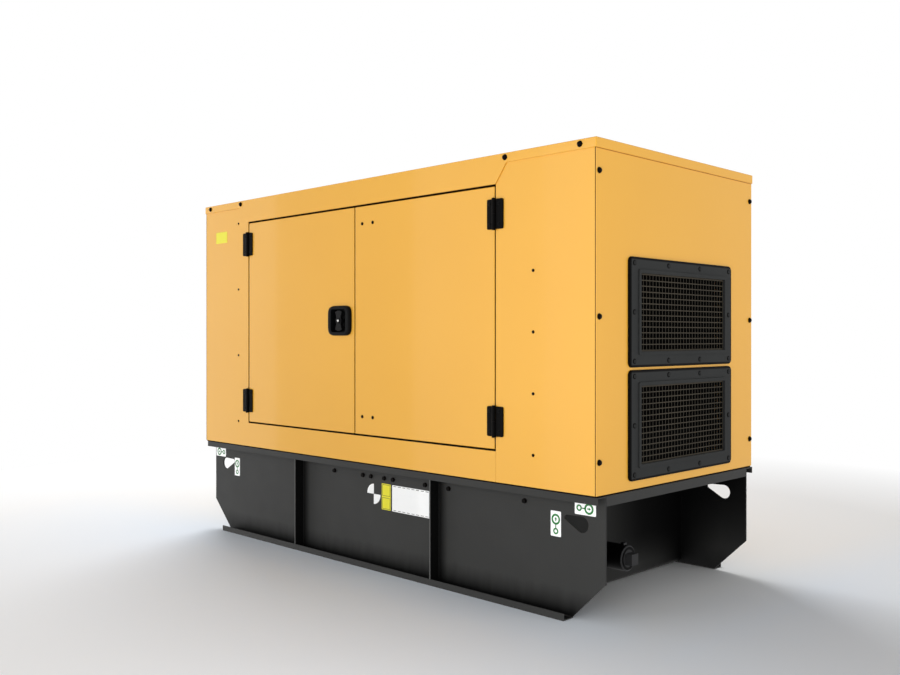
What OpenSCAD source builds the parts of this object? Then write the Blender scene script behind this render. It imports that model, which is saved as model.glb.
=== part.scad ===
// Enclosed generator set on a fuel tank base, with a front service doorway of two hinged leaves.
// +X is the radiator end, -Y is the front with the moving doors, +Z is up.
// The origin is on the floor, at the middle of the set.

/* [Overall] */
// Length of the canopy walls
body_length = 2364; // [1900:10:2900]
// Width of the canopy walls
body_width = 1036; // [860:5:1300]
// Height from the floor to the top of the roof
total_height = 1580; // [1350:10:1900]
// Height of the tank base
base_height = 422; // [340:1:520]

/* [Canopy sheet] */
// Thickness of the steel sheet
sheet = 2; // [1.2:0.1:3]
// Thickness of the rubber seal between base and canopy
base_seal = 5; // [3:0.5:10]
// Thickness of the rubber seal behind an end panel's edge
corner_seal = 3; // [2:0.5:5]
// Depth of the fold along the edges of a wall panel
panel_fold = 25; // [15:1:40]
// Width of the fold that an end panel is bolted to
corner_fold = 40; // [25:1:60]

/* [Roof] */
// Depth of the roof's lip
roof_lip = 33; // [20:1:60]
// Radius of the roof's upper edges
roof_edge = 3; // [2.5:0.5:8]
// Distance that the roof's lip stands out from the walls
roof_proud = 4; // [3:0.5:10]
// Depth of the roof's apron over the doors
apron_depth = 104; // [70:1:160]
// Run of the slanted edge at the right end of the apron
right_apron_run = 52; // [20:1:90]
// Run of the slanted edge at the left end of the apron
left_apron_run = 74; // [20:1:110]

/* [Doorway] */
// Width of the wall panel right of the doorway
right_panel_width = 435; // [300:5:560]
// Width of the wall panel left of the doorway
left_panel_width = 376; // [260:5:520]
// Height of the sill under the doors
sill_height = 108; // [80:1:160]
// Gap round each door
door_gap = 7; // [7:0.5:10]
// Radius of a door's folded edges
door_edge = 3; // [2.5:0.5:6]
// Depth of a door's folded tray
door_depth = 28; // [20:1:34]
// Width of the fold round the back of a door
door_back_fold = 14; // [8:1:25]
// Thickness of the foam lining in a door
lining_thickness = 22; // [10:1:24]
// Gap between the back of a door and the flange it closes against
flange_gap = 6; // [6:0.5:10]
// Width of the flange that a door closes against
flange_width = 22; // [12:1:35]

/* [Hinges] */
// Height of a hinge leaf
leaf_height = 106; // [80:1:140]
// Distance from the pin to the outer edge of a hinge's leaf on the door
door_leaf_reach = 34; // [28:1:50]
// Distance from the pin to the outer edge of a hinge's leaf on the wall
wall_leaf_reach = 40; // [28:1:50]
// Thickness of a hinge leaf
leaf_thickness = 6; // [3:0.5:7]
// Radius of a hinge leaf's outer corners
leaf_corner = 6; // [2:0.5:10]
// Height of the two knuckles of a hinge together
knuckle_height = 113; // [90:1:150]
// Diameter of a knuckle
knuckle_diameter = 14; // [12:0.5:14]
// Distance from the wall to the middle of the pin
pin_proud = 8; // [8:0.5:10]
// Diameter of a hinge pin
pin_diameter = 8; // [6:0.5:9]
// Distance from the bottom or the top of a door to the middle of a hinge
hinge_inset = 98.5; // [70:0.5:220]

/* [Latch] */
// Width of the latch's bezel
latch_width = 143; // [120:1:160]
// Height of the latch's bezel
latch_height = 124.5; // [116:0.5:150]
// Distance that the bezel stands out from the door
latch_proud = 16; // [10:1:18]
// Distance from the middle of the latch to the door's free edge
latch_inset = 86.5; // [82:0.5:120]
// Width and height of the hollow that the handle turns in
latch_hollow = 96; // [92:1:104]
// Distance from the handle's middle to the end of a wing
handle_reach = 42; // [34:1:42]
// Width of a wing of the handle at its end
handle_width = 46; // [30:1:50]
// Diameter of the handle's spindle
spindle_diameter = 14; // [10:1:18]

/* [Grilles] */
// Width of a grille frame
grille_width = 682; // [600:1:760]
// Height of a grille frame
grille_height = 372; // [300:1:380]
// Height of the lower grille above the canopy's bottom
grille_level = 28; // [20:1:60]
// Gap between the lower and the upper grille
grille_spacing = 8.5; // [6:0.5:40]
// Border of a grille frame at its sides
grille_side_border = 59.5; // [40:0.5:80]
// Border of a grille frame at its top and bottom
grille_end_border = 53.5; // [35:0.5:70]
// Radius of a grille frame's corners
grille_corner = 18; // [10:1:30]
// Distance that a grille frame stands out from the wall
grille_proud = 10; // [8:1:14]
// Radius of a grille frame's outer edge
grille_edge = 5; // [2:0.5:7]
// Width of the lip round a grille's opening
grille_lip_width = 12; // [6:1:20]
// Height of the lip round a grille's opening
grille_lip_height = 5; // [2:0.5:8]
// Distance between the bars of a grille
mesh_pitch = 19.8; // [15:0.1:40]
// Width of a grille bar
mesh_bar = 3.4; // [2:0.1:5]
// Width of the solid rim round a grille's bars
mesh_rim = 4; // [2:0.5:8]
// Depth of a grille bar
mesh_depth = 7; // [4:0.5:9]

/* [Base] */
// Thickness of a side web
web_thickness = 6; // [4:0.5:8]
// Distance from the canopy's side to the face of a web
web_inset = 46; // [30:1:70]
// Distance that the base reaches past the canopy's right end
base_right_reach = 4; // [0:1:4]
// Distance from the canopy's left end to the base
base_left_inset = 14; // [0:1:30]
// Height of the lip of a top rail
top_rail_lip = 24; // [18:1:40]
// Thickness of a top rail
top_rail_thickness = 4; // [3:0.5:6]
// Height of the lip of a foot rail
foot_height = 24; // [18:1:40]
// Thickness of a foot rail
foot_wall = 4; // [3:0.5:6]
// Run of the cut corner of a web, which a foot rail ends at
web_cut_run = 136; // [80:1:180]
// Height of the cut corner of a web above the floor
web_cut_height = 135; // [90:1:180]
// Thickness of a rib
rib_thickness = 6; // [4:0.5:10]
// Place of the ribs right of the middle
right_rib = 415; // [300:5:600]
// Place of the ribs left of the middle
left_rib = 442; // [300:5:600]
// Height of the cross member at each end
cross_height = 33; // [28:1:60]
// Depth of the cross member at each end
cross_depth = 60; // [40:1:90]
// Thickness of the deck plate
deck_thickness = 4; // [3:0.5:6]
// Distance from the end of the base to the fuel tank
tank_end_inset = 290; // [230:5:360]
// Distance from the floor to the fuel tank
tank_clearance = 6; // [4:1:40]

/* [Lifting eyes] */
// Distance from the end of the base to the round end of an eye
eye_end_inset = 95; // [70:1:130]
// Height of the round end of an eye
eye_height = 318; // [280:1:340]
// Radius of the round end of an eye
eye_radius = 27; // [20:1:32]
// Run from the round end to the narrow end of an eye
eye_run = 65; // [40:1:90]
// Rise from the round end to the narrow end of an eye
eye_rise = 16; // [0:1:25]
// Radius of the narrow end of an eye
eye_tip_radius = 9; // [6:1:14]

/* [Machinery] */
// Height of the bed beams
bed_height = 100; // [80:5:120]
// Distance from the middle to the side of a bed beam
bed_offset = 190; // [160:5:220]
// Height of the crankshaft above the deck
shaft_height = 330; // [300:5:360]
// Length of the engine block
engine_length = 620; // [520:10:680]
// Place of the front of the engine block
engine_front = 840; // [780:5:870]
// Diameter of the alternator
alternator_diameter = 430; // [360:5:460]
// Length of the alternator
alternator_length = 560; // [480:10:640]
// Width of the radiator
radiator_width = 780; // [640:5:840]
// Height of the radiator
radiator_height = 840; // [700:5:880]
// Diameter of the fan
fan_diameter = 560; // [460:5:600]
// Number of blades on the fan
fan_blades = 7; // [5:1:9]

/* [Hidden] */
$fn = 48;

// Small running gap between pieces that are fitted to each other
fit = 0.3;
// Radial clearance of a pin in its bore
pin_clearance = 0.1;
// Overlap that joins the solids of one piece
weld = 1;

half_length = body_length / 2;
half_width = body_width / 2;
canopy_bottom = base_height + base_seal;
apron_bottom = total_height - apron_depth;
right_seam = half_length - right_panel_width;
left_seam = -half_length + left_panel_width;
centre_seam = (right_seam + left_seam) / 2;
sill_top = canopy_bottom + sill_height;
door_bottom = sill_top + door_gap;
door_top = apron_bottom - door_gap;
flange_front = door_depth + flange_gap;
panel_top = total_height - sheet - fit;
wall_end = half_length - sheet - corner_seal;

base_right = half_length + base_right_reach;
base_left = -half_length + base_left_inset;
web_face = half_width - web_inset;
web_back = web_face - web_thickness;
deck_top = base_height;
rail_bottom = base_height - top_rail_lip;

shaft_level = deck_top + shaft_height;
bed_top = deck_top + bed_height;
engine_back = engine_front - engine_length;

// Box between two opposite corners
module block(low, high) {
    translate(low) cube(high - low);
}

// Rectangle with round corners, centred
module round_rectangle(width, height, radius) {
    square([width - 2 * radius, height], center = true);
    square([width, height - 2 * radius], center = true);
    for (side = [-1, 1], end = [-1, 1])
        translate([side * (width / 2 - radius), end * (height / 2 - radius)]) circle(radius);
}

// Quarter of a disc
module quarter_disc(radius) {
    intersection() {
        circle(radius);
        square(radius);
    }
}

// Plate with round corners, whose edges are rounded on its upper side
module soft_plate(width, height, depth, corner, edge) {
    linear_extrude(depth - edge) round_rectangle(width, height, corner);
    translate([0, 0, depth - edge]) {
        linear_extrude(edge) round_rectangle(width - 2 * edge, height - 2 * edge, corner - edge);
        for (turn = [0, 180]) rotate([0, 0, turn]) {
            translate([width / 2 - edge, height / 2 - corner, 0]) rotate([90, 0, 0])
                linear_extrude(height - 2 * corner) quarter_disc(edge);
            translate([-width / 2 + corner, height / 2 - edge, 0]) rotate([90, 0, 90])
                linear_extrude(width - 2 * corner) quarter_disc(edge);
            for (side = [0, 1])
                translate([(1 - 2 * side) * (width / 2 - corner), height / 2 - corner, 0])
                    rotate([0, 0, 90 * side]) rotate_extrude(angle = 90)
                        translate([corner - edge, 0]) quarter_disc(edge);
        }
    }
}

// Extrudes a drawing made in the X-Z plane towards +Y, from the given place
module extrude_back(place, depth) {
    translate([0, place + depth, 0]) rotate([90, 0, 0]) linear_extrude(depth) children();
}

// Extrudes a drawing made in the Y-Z plane towards +X, from the given place
module extrude_right(place, depth) {
    translate([place, 0, 0]) rotate([90, 0, 90]) linear_extrude(depth) children();
}

module both_sides() {
    children();
    mirror([0, 1, 0]) children();
}

module both_ends() {
    children();
    mirror([1, 0, 0]) children();
}

// ---- Base ----

// Points along an arc, from one angle to another
function arc(centre, radius, start, end, steps) =
    [for (step = [0 : steps]) let (angle = start + (end - start) * step / steps)
        centre + radius * [cos(angle), sin(angle)]];

// Outline of a lifting eye, round at one end and narrow at the other.
// The narrow end points away from the end of the base that direction names.
module eye_outline(direction) {
    tip = [-direction * eye_run, eye_rise];
    heading = atan2(tip[1], tip[0]);
    lean = acos((eye_radius - eye_tip_radius) / norm(tip));
    polygon(concat(
        arc([0, 0], eye_radius, heading + lean, heading + 360 - lean, 36),
        arc(tip, eye_tip_radius, heading - lean, heading + lean, 12)
    ));
}

module web_outline() {
    difference() {
        polygon([
            [base_left, base_height], [base_right, base_height], [base_right, web_cut_height],
            [base_right - web_cut_run, foot_wall], [base_left + web_cut_run, foot_wall],
            [base_left, web_cut_height]
        ]);
        translate([base_right - eye_end_inset, eye_height]) eye_outline(1);
        translate([base_left + eye_end_inset, eye_height]) eye_outline(-1);
    }
}

module skid_web() {
    color("#3a3a39") extrude_back(-web_face, web_thickness) web_outline();
}

module front_skid_web() {
    skid_web();
}

module back_skid_web() {
    mirror([0, 1, 0]) skid_web();
}

module top_rails() {
    color("#3a3a39") both_sides() extrude_right(base_left, base_right - base_left) polygon([
        [-half_width, base_height], [-web_face, base_height],
        [-web_face, base_height - top_rail_thickness],
        [-half_width + top_rail_thickness, base_height - top_rail_thickness],
        [-half_width + top_rail_thickness, rail_bottom], [-half_width, rail_bottom]
    ]);
}

// Angles under the webs, with the lip turned up along the outer edge
module foot_rails() {
    start = base_left + web_cut_run;
    color("#3a3a39") both_sides() extrude_right(start, base_right - web_cut_run - start) polygon([
        [-half_width, 0], [-web_back, 0], [-web_back, foot_wall],
        [-half_width + foot_wall, foot_wall], [-half_width + foot_wall, foot_height],
        [-half_width, foot_height]
    ]);
}

module skid_ribs() {
    color("#3a3a39") both_sides() for (place = [-left_rib, right_rib])
        extrude_right(place - rib_thickness / 2, rib_thickness) polygon([
            [-half_width, foot_height], [-half_width, rail_bottom],
            [-half_width + top_rail_thickness, rail_bottom],
            [-half_width + top_rail_thickness, base_height - top_rail_thickness],
            [-web_face, base_height - top_rail_thickness], [-web_face, foot_wall],
            [-half_width + foot_wall, foot_wall], [-half_width + foot_wall, foot_height]
        ]);
}

module cross_member() {
    block([-cross_depth, -web_back, base_height - web_thickness], [0, web_back, base_height]);
    block([-web_thickness, -web_back, base_height - cross_height], [0, web_back, base_height]);
}

module end_cross_members() {
    color("#3a3a39") {
        translate([base_right, 0, 0]) cross_member();
        translate([base_left, 0, 0]) mirror([1, 0, 0]) cross_member();
    }
}

module deck_plate() {
    color("#333333") block([base_left + cross_depth, -web_back, base_height - deck_thickness],
        [base_right - cross_depth, web_back, base_height]);
}

// Tank between the webs, with rounded lower edges at its ends
module fuel_tank() {
    left = base_left + tank_end_inset;
    right = base_right - tank_end_inset;
    edge = 20;
    color("#2c2c2c") {
        block([left, -web_back, tank_clearance + edge], [right, web_back, base_height - deck_thickness]);
        block([left + edge, -web_back, tank_clearance], [right - edge, web_back, tank_clearance + edge]);
        for (place = [left + edge, right - edge])
            translate([place, -web_back, tank_clearance + edge]) rotate([-90, 0, 0])
                cylinder(h = 2 * web_back, r = edge);
    }
}

// Boss and square plug of the tank's drain, and the tab above the boss
module tank_drain() {
    boss_diameter = 93;
    boss_length = 142;
    rim = 3;
    plug_width = 40;
    plug_length = 28;
    drain_place = -124;
    drain_level = 140;
    tab = [14, 18, 9];
    color("#2a2a2a") translate([base_right - tank_end_inset, drain_place, drain_level]) {
        rotate([0, 90, 0]) rotate_extrude() polygon([
            [0, 0], [boss_diameter / 2, 0], [boss_diameter / 2, boss_length - rim],
            [boss_diameter / 2 - rim, boss_length], [0, boss_length]
        ]);
        translate([boss_length - weld, -plug_width / 2, -plug_width / 2])
            cube([plug_length + weld, plug_width, plug_width]);
        translate([boss_length - 2 * tab[0], -tab[1] / 2, boss_diameter / 2 - weld]) cube(tab);
    }
}

module canopy_seal() {
    inset = 3;
    width = 30;
    color("#1c1c1c") translate([0, 0, base_height]) linear_extrude(base_seal) difference() {
        square([body_length - 2 * inset, body_width - 2 * inset], center = true);
        square([body_length - 2 * (inset + width), body_width - 2 * (inset + width)], center = true);
    }
}

// ---- Canopy ----

// Apron that hangs from the roof's lip over the doors, as a flat drawing
module apron_outline() {
    lip_bottom = total_height - roof_lip;
    right_edge = right_seam + door_gap / 2;
    left_edge = left_seam - door_gap / 2;
    polygon([
        [right_edge + right_apron_run, lip_bottom + weld], [right_edge + right_apron_run, lip_bottom],
        [right_edge, apron_bottom], [left_edge, apron_bottom],
        [left_edge - left_apron_run, lip_bottom], [left_edge - left_apron_run, lip_bottom + weld]
    ]);
}

module roof() {
    end = half_length + roof_proud;
    side = half_width + roof_proud;
    lip_bottom = total_height - roof_lip;
    color("#f6ba60") {
        difference() {
            translate([0, 0, lip_bottom])
                soft_plate(2 * end, 2 * side, roof_lip, 1.25 * roof_edge, roof_edge);
            block([-end + sheet, -side + sheet, lip_bottom - weld],
                [end - sheet, side - sheet, total_height - sheet]);
        }
        both_sides() {
            extrude_back(-side, sheet) apron_outline();
            // Shelf under the apron and the flange that the doors close against
            block([left_seam + door_gap / 2, -side, apron_bottom],
                [right_seam - door_gap / 2, -half_width + flange_front + sheet, apron_bottom + sheet]);
            block([left_seam + flange_width + door_gap, -half_width + flange_front,
                    apron_bottom - flange_width],
                [right_seam - flange_width - door_gap, -half_width + flange_front + sheet,
                    apron_bottom + sheet]);
        }
    }
}

// Centre of the opening of the lower grille (row 0) or the upper one (row 1)
function grille_centre(row) =
    canopy_bottom + grille_level + grille_height / 2 + row * (grille_height + grille_spacing);
opening_width = grille_width - 2 * grille_side_border;
opening_height = grille_height - 2 * grille_end_border;

module end_panel() {
    color("#ecb062") {
        difference() {
            block([half_length - sheet, -half_width, canopy_bottom], [half_length, half_width, panel_top]);
            for (row = [0, 1])
                extrude_right(half_length - 2 * sheet, 3 * sheet)
                    translate([0, grille_centre(row)])
                        square([opening_width + sheet, opening_height + sheet], center = true);
        }
        // Folds along the bottom and the top, inside the corner seals
        for (level = [canopy_bottom, panel_top - sheet])
            block([half_length - sheet - panel_fold, -half_width + 2 * corner_fold, level],
                [half_length, half_width - 2 * corner_fold, level + sheet]);
    }
}

module right_end_panel() {
    end_panel();
}

module left_end_panel() {
    mirror([1, 0, 0]) end_panel();
}

module corner_seals() {
    width = 22;
    color("#1c1c1c") both_ends() both_sides()
        block([wall_end, -half_width + fit, canopy_bottom],
            [half_length - sheet, -half_width + width, total_height - roof_lip]);
}

// Folds of a wall panel: the corner fold, the top and bottom folds and the door jamb.
// The drawing is for the right of the doorway; it is mirrored for the left.
module wall_folds(jamb, panel_end) {
    inside = -half_width + panel_fold;
    jamb_back = -half_width + flange_front + sheet;
    block([panel_end - sheet, -half_width, canopy_bottom],
        [panel_end, -half_width + corner_fold, panel_top]);
    block([jamb, -half_width, panel_top - sheet], [panel_end, inside, panel_top]);
    block([jamb, -half_width, canopy_bottom], [panel_end, inside, canopy_bottom + sheet]);
    block([jamb, -half_width, sill_top], [jamb + sheet, jamb_back, apron_bottom - fit]);
    block([jamb - flange_width, jamb_back - sheet, sill_top], [jamb + sheet, jamb_back, apron_bottom - fit]);
}

module wall_right_of_door() {
    jamb = right_seam + door_gap / 2;
    color("#f6ba60") {
        extrude_back(-half_width, sheet) polygon([
            [jamb, canopy_bottom], [wall_end, canopy_bottom], [wall_end, panel_top], [jamb, panel_top]
        ]);
        wall_folds(jamb, wall_end);
    }
}

module wall_left_of_door() {
    jamb = left_seam - door_gap / 2;
    sill_end = right_seam + door_gap / 2 - 1;
    color("#f6ba60") {
        extrude_back(-half_width, sheet) polygon([
            [-wall_end, canopy_bottom], [sill_end, canopy_bottom], [sill_end, sill_top],
            [jamb, sill_top], [jamb, panel_top], [-wall_end, panel_top]
        ]);
        mirror([1, 0, 0]) wall_folds(-jamb, wall_end);
        // Folds of the sill and the flange that the doors close against
        block([jamb - sheet, -half_width, canopy_bottom],
            [sill_end, -half_width + panel_fold, canopy_bottom + sheet]);
        block([jamb - sheet, -half_width, sill_top - sheet],
            [sill_end, -half_width + flange_front + sheet, sill_top]);
        block([jamb - sheet, -half_width + flange_front, sill_top - sheet],
            [right_seam - flange_width - fit, -half_width + flange_front + sheet, sill_top + flange_width]);
    }
}

module front_right_panel() {
    wall_right_of_door();
}

module front_left_panel() {
    wall_left_of_door();
}

module back_right_panel() {
    mirror([0, 1, 0]) wall_right_of_door();
}

module back_left_panel() {
    mirror([0, 1, 0]) wall_left_of_door();
}

// ---- Doors ----

// One door as a folded tray between two edges, with a hole for a latch if it carries one
module door_tray(left, right, latch_place = undef) {
    back = -half_width + door_depth;
    color("#f6ba60") difference() {
        translate([(left + right) / 2, back, (door_bottom + door_top) / 2]) rotate([90, 0, 0])
            soft_plate(right - left, door_top - door_bottom, door_depth, 1.25 * door_edge, door_edge);
        block([left + sheet, -half_width + sheet, door_bottom + sheet],
            [right - sheet, back - sheet, door_top - sheet]);
        block([left + door_back_fold, -half_width + sheet, door_bottom + door_back_fold],
            [right - door_back_fold, back + weld, door_top - door_back_fold]);
        if (!is_undef(latch_place)) latch_hole(latch_place);
    }
}

latch_place = centre_seam - door_gap / 2 - latch_inset;
latch_level = (door_bottom + door_top) / 2;
latch_pocket = latch_hollow + 2 * sheet;

module latch_hole(place) {
    extrude_back(-half_width - weld, door_depth) translate([place, latch_level])
        square(latch_pocket + 2 * fit, center = true);
}

// Foam lining that lies in a door's tray
module door_lining(left, right, latch_place = undef) {
    gap = door_back_fold + fit;
    start = -half_width + sheet;
    color("#2b2b2d") difference() {
        block([left + gap, start, door_bottom + gap],
            [right - gap, start + lining_thickness, door_top - gap]);
        if (!is_undef(latch_place)) latch_hole(latch_place);
    }
}

left_door = [left_seam + door_gap / 2, centre_seam - door_gap / 2];
right_door = [centre_seam + door_gap / 2, right_seam - door_gap / 2];

module front_left_door() {
    door_tray(left_door[0], left_door[1], latch_place);
}

module front_left_lining() {
    door_lining(left_door[0], left_door[1], latch_place);
}

module front_right_door() {
    door_tray(right_door[0], right_door[1]);
}

module front_right_lining() {
    door_lining(right_door[0], right_door[1]);
}

module back_doors() {
    mirror([0, 1, 0]) {
        door_tray(left_door[0], left_door[1], latch_place);
        door_tray(right_door[0], right_door[1]);
    }
}

// Levels of the middle of the lower and the upper hinge
hinge_levels = [door_bottom + hinge_inset, door_top - hinge_inset];
knuckle_clear = knuckle_diameter / 2 + 1;

// Flat leaf on one side of the pin, which is at the origin, with the half of the knuckle it carries.
// The leaf reaches towards +X, and the wall is at +Y.
module hinge_leaf(reach, knuckle_start, knuckle_end) {
    front = pin_proud - leaf_thickness;
    extrude_back(front, leaf_thickness) {
        translate([knuckle_clear, -leaf_height / 2])
            square([reach - leaf_corner - knuckle_clear, leaf_height]);
        translate([knuckle_clear, leaf_corner - leaf_height / 2])
            square([reach - knuckle_clear, leaf_height - 2 * leaf_corner]);
        for (end = [-1, 1])
            translate([reach - leaf_corner, end * (leaf_height / 2 - leaf_corner)]) circle(leaf_corner);
    }
    translate([0, 0, knuckle_start]) cylinder(h = knuckle_end - knuckle_start, d = knuckle_diameter);
    block([0, front, max(knuckle_start, -leaf_height / 2)],
        [knuckle_clear + weld, pin_proud, min(knuckle_end, leaf_height / 2)]);
}

// Door's leaf of a hinge, with the upper half of the knuckle and its bore
module upper_knuckle_leaf() {
    difference() {
        hinge_leaf(door_leaf_reach, fit, knuckle_height / 2);
        cylinder(h = knuckle_height, d = pin_diameter + 2 * pin_clearance, center = true);
    }
}

// Wall's leaf of a hinge, with the lower half of the knuckle and the pin
module lower_knuckle_leaf() {
    hinge_leaf(wall_leaf_reach, -knuckle_height / 2, 0);
    translate([0, 0, -weld]) cylinder(h = knuckle_height / 2 + weld, d = pin_diameter);
}

// Both door leaves at a seam; the door is left of its pins where side is -1, right where it is 1
module door_side_leaves(seam, side) {
    for (level = hinge_levels)
        translate([seam, -half_width - pin_proud, level]) mirror([side > 0 ? 0 : 1, 0, 0])
            upper_knuckle_leaf();
}

// Both wall leaves at a seam, on the other side of the pins than the door
module wall_side_leaves(seam, side) {
    for (level = hinge_levels)
        translate([seam, -half_width - pin_proud, level]) mirror([side > 0 ? 1 : 0, 0, 0])
            lower_knuckle_leaf();
}

module front_left_hinge_leaves() {
    color("#242424") door_side_leaves(left_seam, 1);
}

module front_right_hinge_leaves() {
    color("#242424") door_side_leaves(right_seam, -1);
}

module frame_hinge_leaves() {
    color("#242424") {
        wall_side_leaves(left_seam, 1);
        wall_side_leaves(right_seam, -1);
    }
}

module back_hinges() {
    color("#242424") mirror([0, 1, 0]) {
        door_side_leaves(left_seam, 1);
        wall_side_leaves(left_seam, 1);
        door_side_leaves(right_seam, -1);
        wall_side_leaves(right_seam, -1);
    }
}

// ---- Latch ----

hollow_depth = 16;
hollow_corner = 12;
cup_depth = hollow_depth + 2 * sheet;
spindle_bore = spindle_diameter + 2 * pin_clearance;

// Outline of the bezel, whose sides bulge and run into wide round corners.
// The margin is taken off all round.
module bezel_outline(margin) {
    squareness = 5;
    steps = 64;
    half = [latch_width / 2 - margin, latch_height / 2 - margin];
    polygon([for (step = [0 : steps - 1]) let (angle = 360 * (step + 0.5) / steps)
        [half[0] * sign(cos(angle)) * pow(abs(cos(angle)), 2 / squareness),
            half[1] * sign(sin(angle)) * pow(abs(sin(angle)), 2 / squareness)]
    ]);
}

// Bezel and cup at the origin: the bezel stands towards -Y, the cup goes through the door
module latch_body() {
    difference() {
        union() {
            hull() {
                extrude_back(-latch_proud / 2, latch_proud / 2) bezel_outline(0);
                extrude_back(-0.85 * latch_proud, latch_proud / 2) bezel_outline(2);
                extrude_back(-latch_proud, latch_proud / 2) bezel_outline(7);
            }
            extrude_back(-weld, cup_depth + weld) square(latch_pocket, center = true);
        }
        extrude_back(-latch_proud - weld, latch_proud + weld + hollow_depth)
            round_rectangle(latch_hollow, latch_hollow, hollow_corner);
        rotate([-90, 0, 0]) cylinder(h = 2 * hollow_depth, d = spindle_bore);
    }
}

// Handle at the origin: two wings that widen towards their round ends, the hub between them,
// the barrel of the lock in it and the spindle behind it
module latch_wing() {
    thickness = 13;
    hub = 36;
    waist = 18;
    barrel = 22;
    step = 3;
    front = step - latch_proud;
    extrude_back(front, thickness) {
        circle(d = hub);
        intersection() {
            circle(handle_reach);
            polygon([
                [-waist / 2, 0], [-handle_width / 2, handle_reach], [handle_width / 2, handle_reach],
                [waist / 2, 0], [handle_width / 2, -handle_reach], [-handle_width / 2, -handle_reach]
            ]);
        }
    }
    extrude_back(front - step, thickness) circle(d = barrel);
    rotate([-90, 0, 0]) cylinder(h = cup_depth + 2 * sheet, d = spindle_diameter);
}

module latch_bezel() {
    color("#1f1f1f") translate([latch_place, -half_width, latch_level]) latch_body();
}

module latch_handle() {
    color("#161616") translate([latch_place, -half_width, latch_level]) latch_wing();
}

module back_latch() {
    color("#1f1f1f") mirror([0, 1, 0]) translate([latch_place, -half_width, latch_level]) {
        latch_body();
        latch_wing();
    }
}

// ---- Grilles ----

module grille_frame(row) {
    lip_corner = 8;
    translate([half_length, 0, grille_centre(row)]) rotate([90, 0, 90]) difference() {
        union() {
            soft_plate(grille_width, grille_height, grille_proud, grille_corner, grille_edge);
            translate([0, 0, weld]) linear_extrude(grille_proud + grille_lip_height - weld)
                round_rectangle(opening_width + 2 * grille_lip_width,
                    opening_height + 2 * grille_lip_width, lip_corner);
        }
        translate([0, 0, -weld]) linear_extrude(grille_proud + grille_lip_height + 2 * weld)
            square([opening_width, opening_height], center = true);
    }
}

// Grid of flat bars that fills one opening, fused where they cross, with a solid rim
module grille_mesh(row) {
    columns = round((opening_width - 2 * mesh_rim) / mesh_pitch);
    rows = round((opening_height - 2 * mesh_rim) / mesh_pitch);
    column_pitch = (opening_width - 2 * mesh_rim) / columns;
    row_pitch = (opening_height - 2 * mesh_rim) / rows;
    extrude_right(half_length - sheet / 2, mesh_depth) translate([0, grille_centre(row)]) difference() {
        square([opening_width, opening_height], center = true);
        for (column = [0 : columns - 1], line = [0 : rows - 1])
            translate([
                (column - (columns - 1) / 2) * column_pitch,
                (line - (rows - 1) / 2) * row_pitch
            ]) square([column_pitch - mesh_bar, row_pitch - mesh_bar], center = true);
    }
}

module right_grille_frames() {
    color("#373939") for (row = [0, 1]) grille_frame(row);
}

module left_grille_frames() {
    color("#373939") mirror([1, 0, 0]) for (row = [0, 1]) grille_frame(row);
}

module right_upper_mesh() {
    color("#4a4640") grille_mesh(1);
}

module right_lower_mesh() {
    color("#4a4640") grille_mesh(0);
}

module left_upper_mesh() {
    color("#4a4640") mirror([1, 0, 0]) grille_mesh(1);
}

module left_lower_mesh() {
    color("#4a4640") mirror([1, 0, 0]) grille_mesh(0);
}

// ---- Machinery ----

flywheel_housing = 60;
alternator_left = engine_back - flywheel_housing - alternator_length;
radiator_back = 1010;
radiator_thickness = 80;
mount_height = 40;
mount_top = bed_top + mount_height;
foot_thickness = 22;
fan_level = shaft_level + 130;
fan_shaft = 59;
crankcase_top = shaft_level + 250;
head_top = crankcase_top + 90;
terminal_top = shaft_level + 300;
manifold_place = 145;
exhaust_outlet = engine_back + 80;

// Cylinder along X that starts at the given place
module bar(place, length, diameter) {
    translate(place) rotate([0, 90, 0]) cylinder(h = length, d = diameter);
}

// Solid of revolution about X that starts at the given place; points are [radius, distance]
module turned(place, points) {
    translate(place) rotate([0, 90, 0]) rotate_extrude() polygon(points);
}

module engine_bed() {
    beam_width = 60;
    beam_wall = 6;
    mount_diameter = 64;
    mount_inset = 120;
    left = alternator_left - 60;
    right = radiator_back + radiator_thickness + 20;
    color("#2e2e2e") {
        both_sides() extrude_right(left, right - left) translate([-bed_offset - beam_width / 2, deck_top])
            difference() {
                square([beam_width, bed_height]);
                translate([-weld, beam_wall])
                    square([beam_width - beam_wall + weld, bed_height - 2 * beam_wall]);
            }
        for (place = [left, (left + right) / 2, right - beam_wall])
            block([place, -bed_offset, deck_top], [place + beam_wall, bed_offset, bed_top]);
        both_sides() for (place = [alternator_left + mount_inset, engine_front - mount_inset])
            translate([place, -bed_offset, bed_top - weld])
                cylinder(h = mount_height + weld, d = mount_diameter);
    }
}

// Cross-section of the crankcase and the sump, about the crankshaft
module crankcase_outline() {
    top = crankcase_top - shaft_level;
    polygon([
        [-130, top], [130, top], [150, 180], [150, -20], [170, -60], [170, -90],
        [120, -110], [100, -190], [-100, -190], [-120, -110], [-170, -90], [-170, -60],
        [-150, -20], [-150, 180]
    ]);
}

// Foot on each side, with the bracket that joins it to the machine's flank
module machine_feet(left, right, flank, bracket_top) {
    bracket = 30;
    both_sides() {
        block([left, -bed_offset - 35, mount_top], [right, -flank, mount_top + foot_thickness]);
        block([left, -flank - bracket, mount_top], [right, -flank, bracket_top]);
    }
}

// Pulley with two grooves at the engine's front
module pulley(place, diameter) {
    radius = diameter / 2;
    groove = 12;
    turned(place, [
        [0, 0], [radius, 0], [radius, 4], [radius - groove, 10], [radius, 16], [radius, 20],
        [radius - groove, 26], [radius, 32], [radius, 36], [0, 36]
    ]);
}

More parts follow.
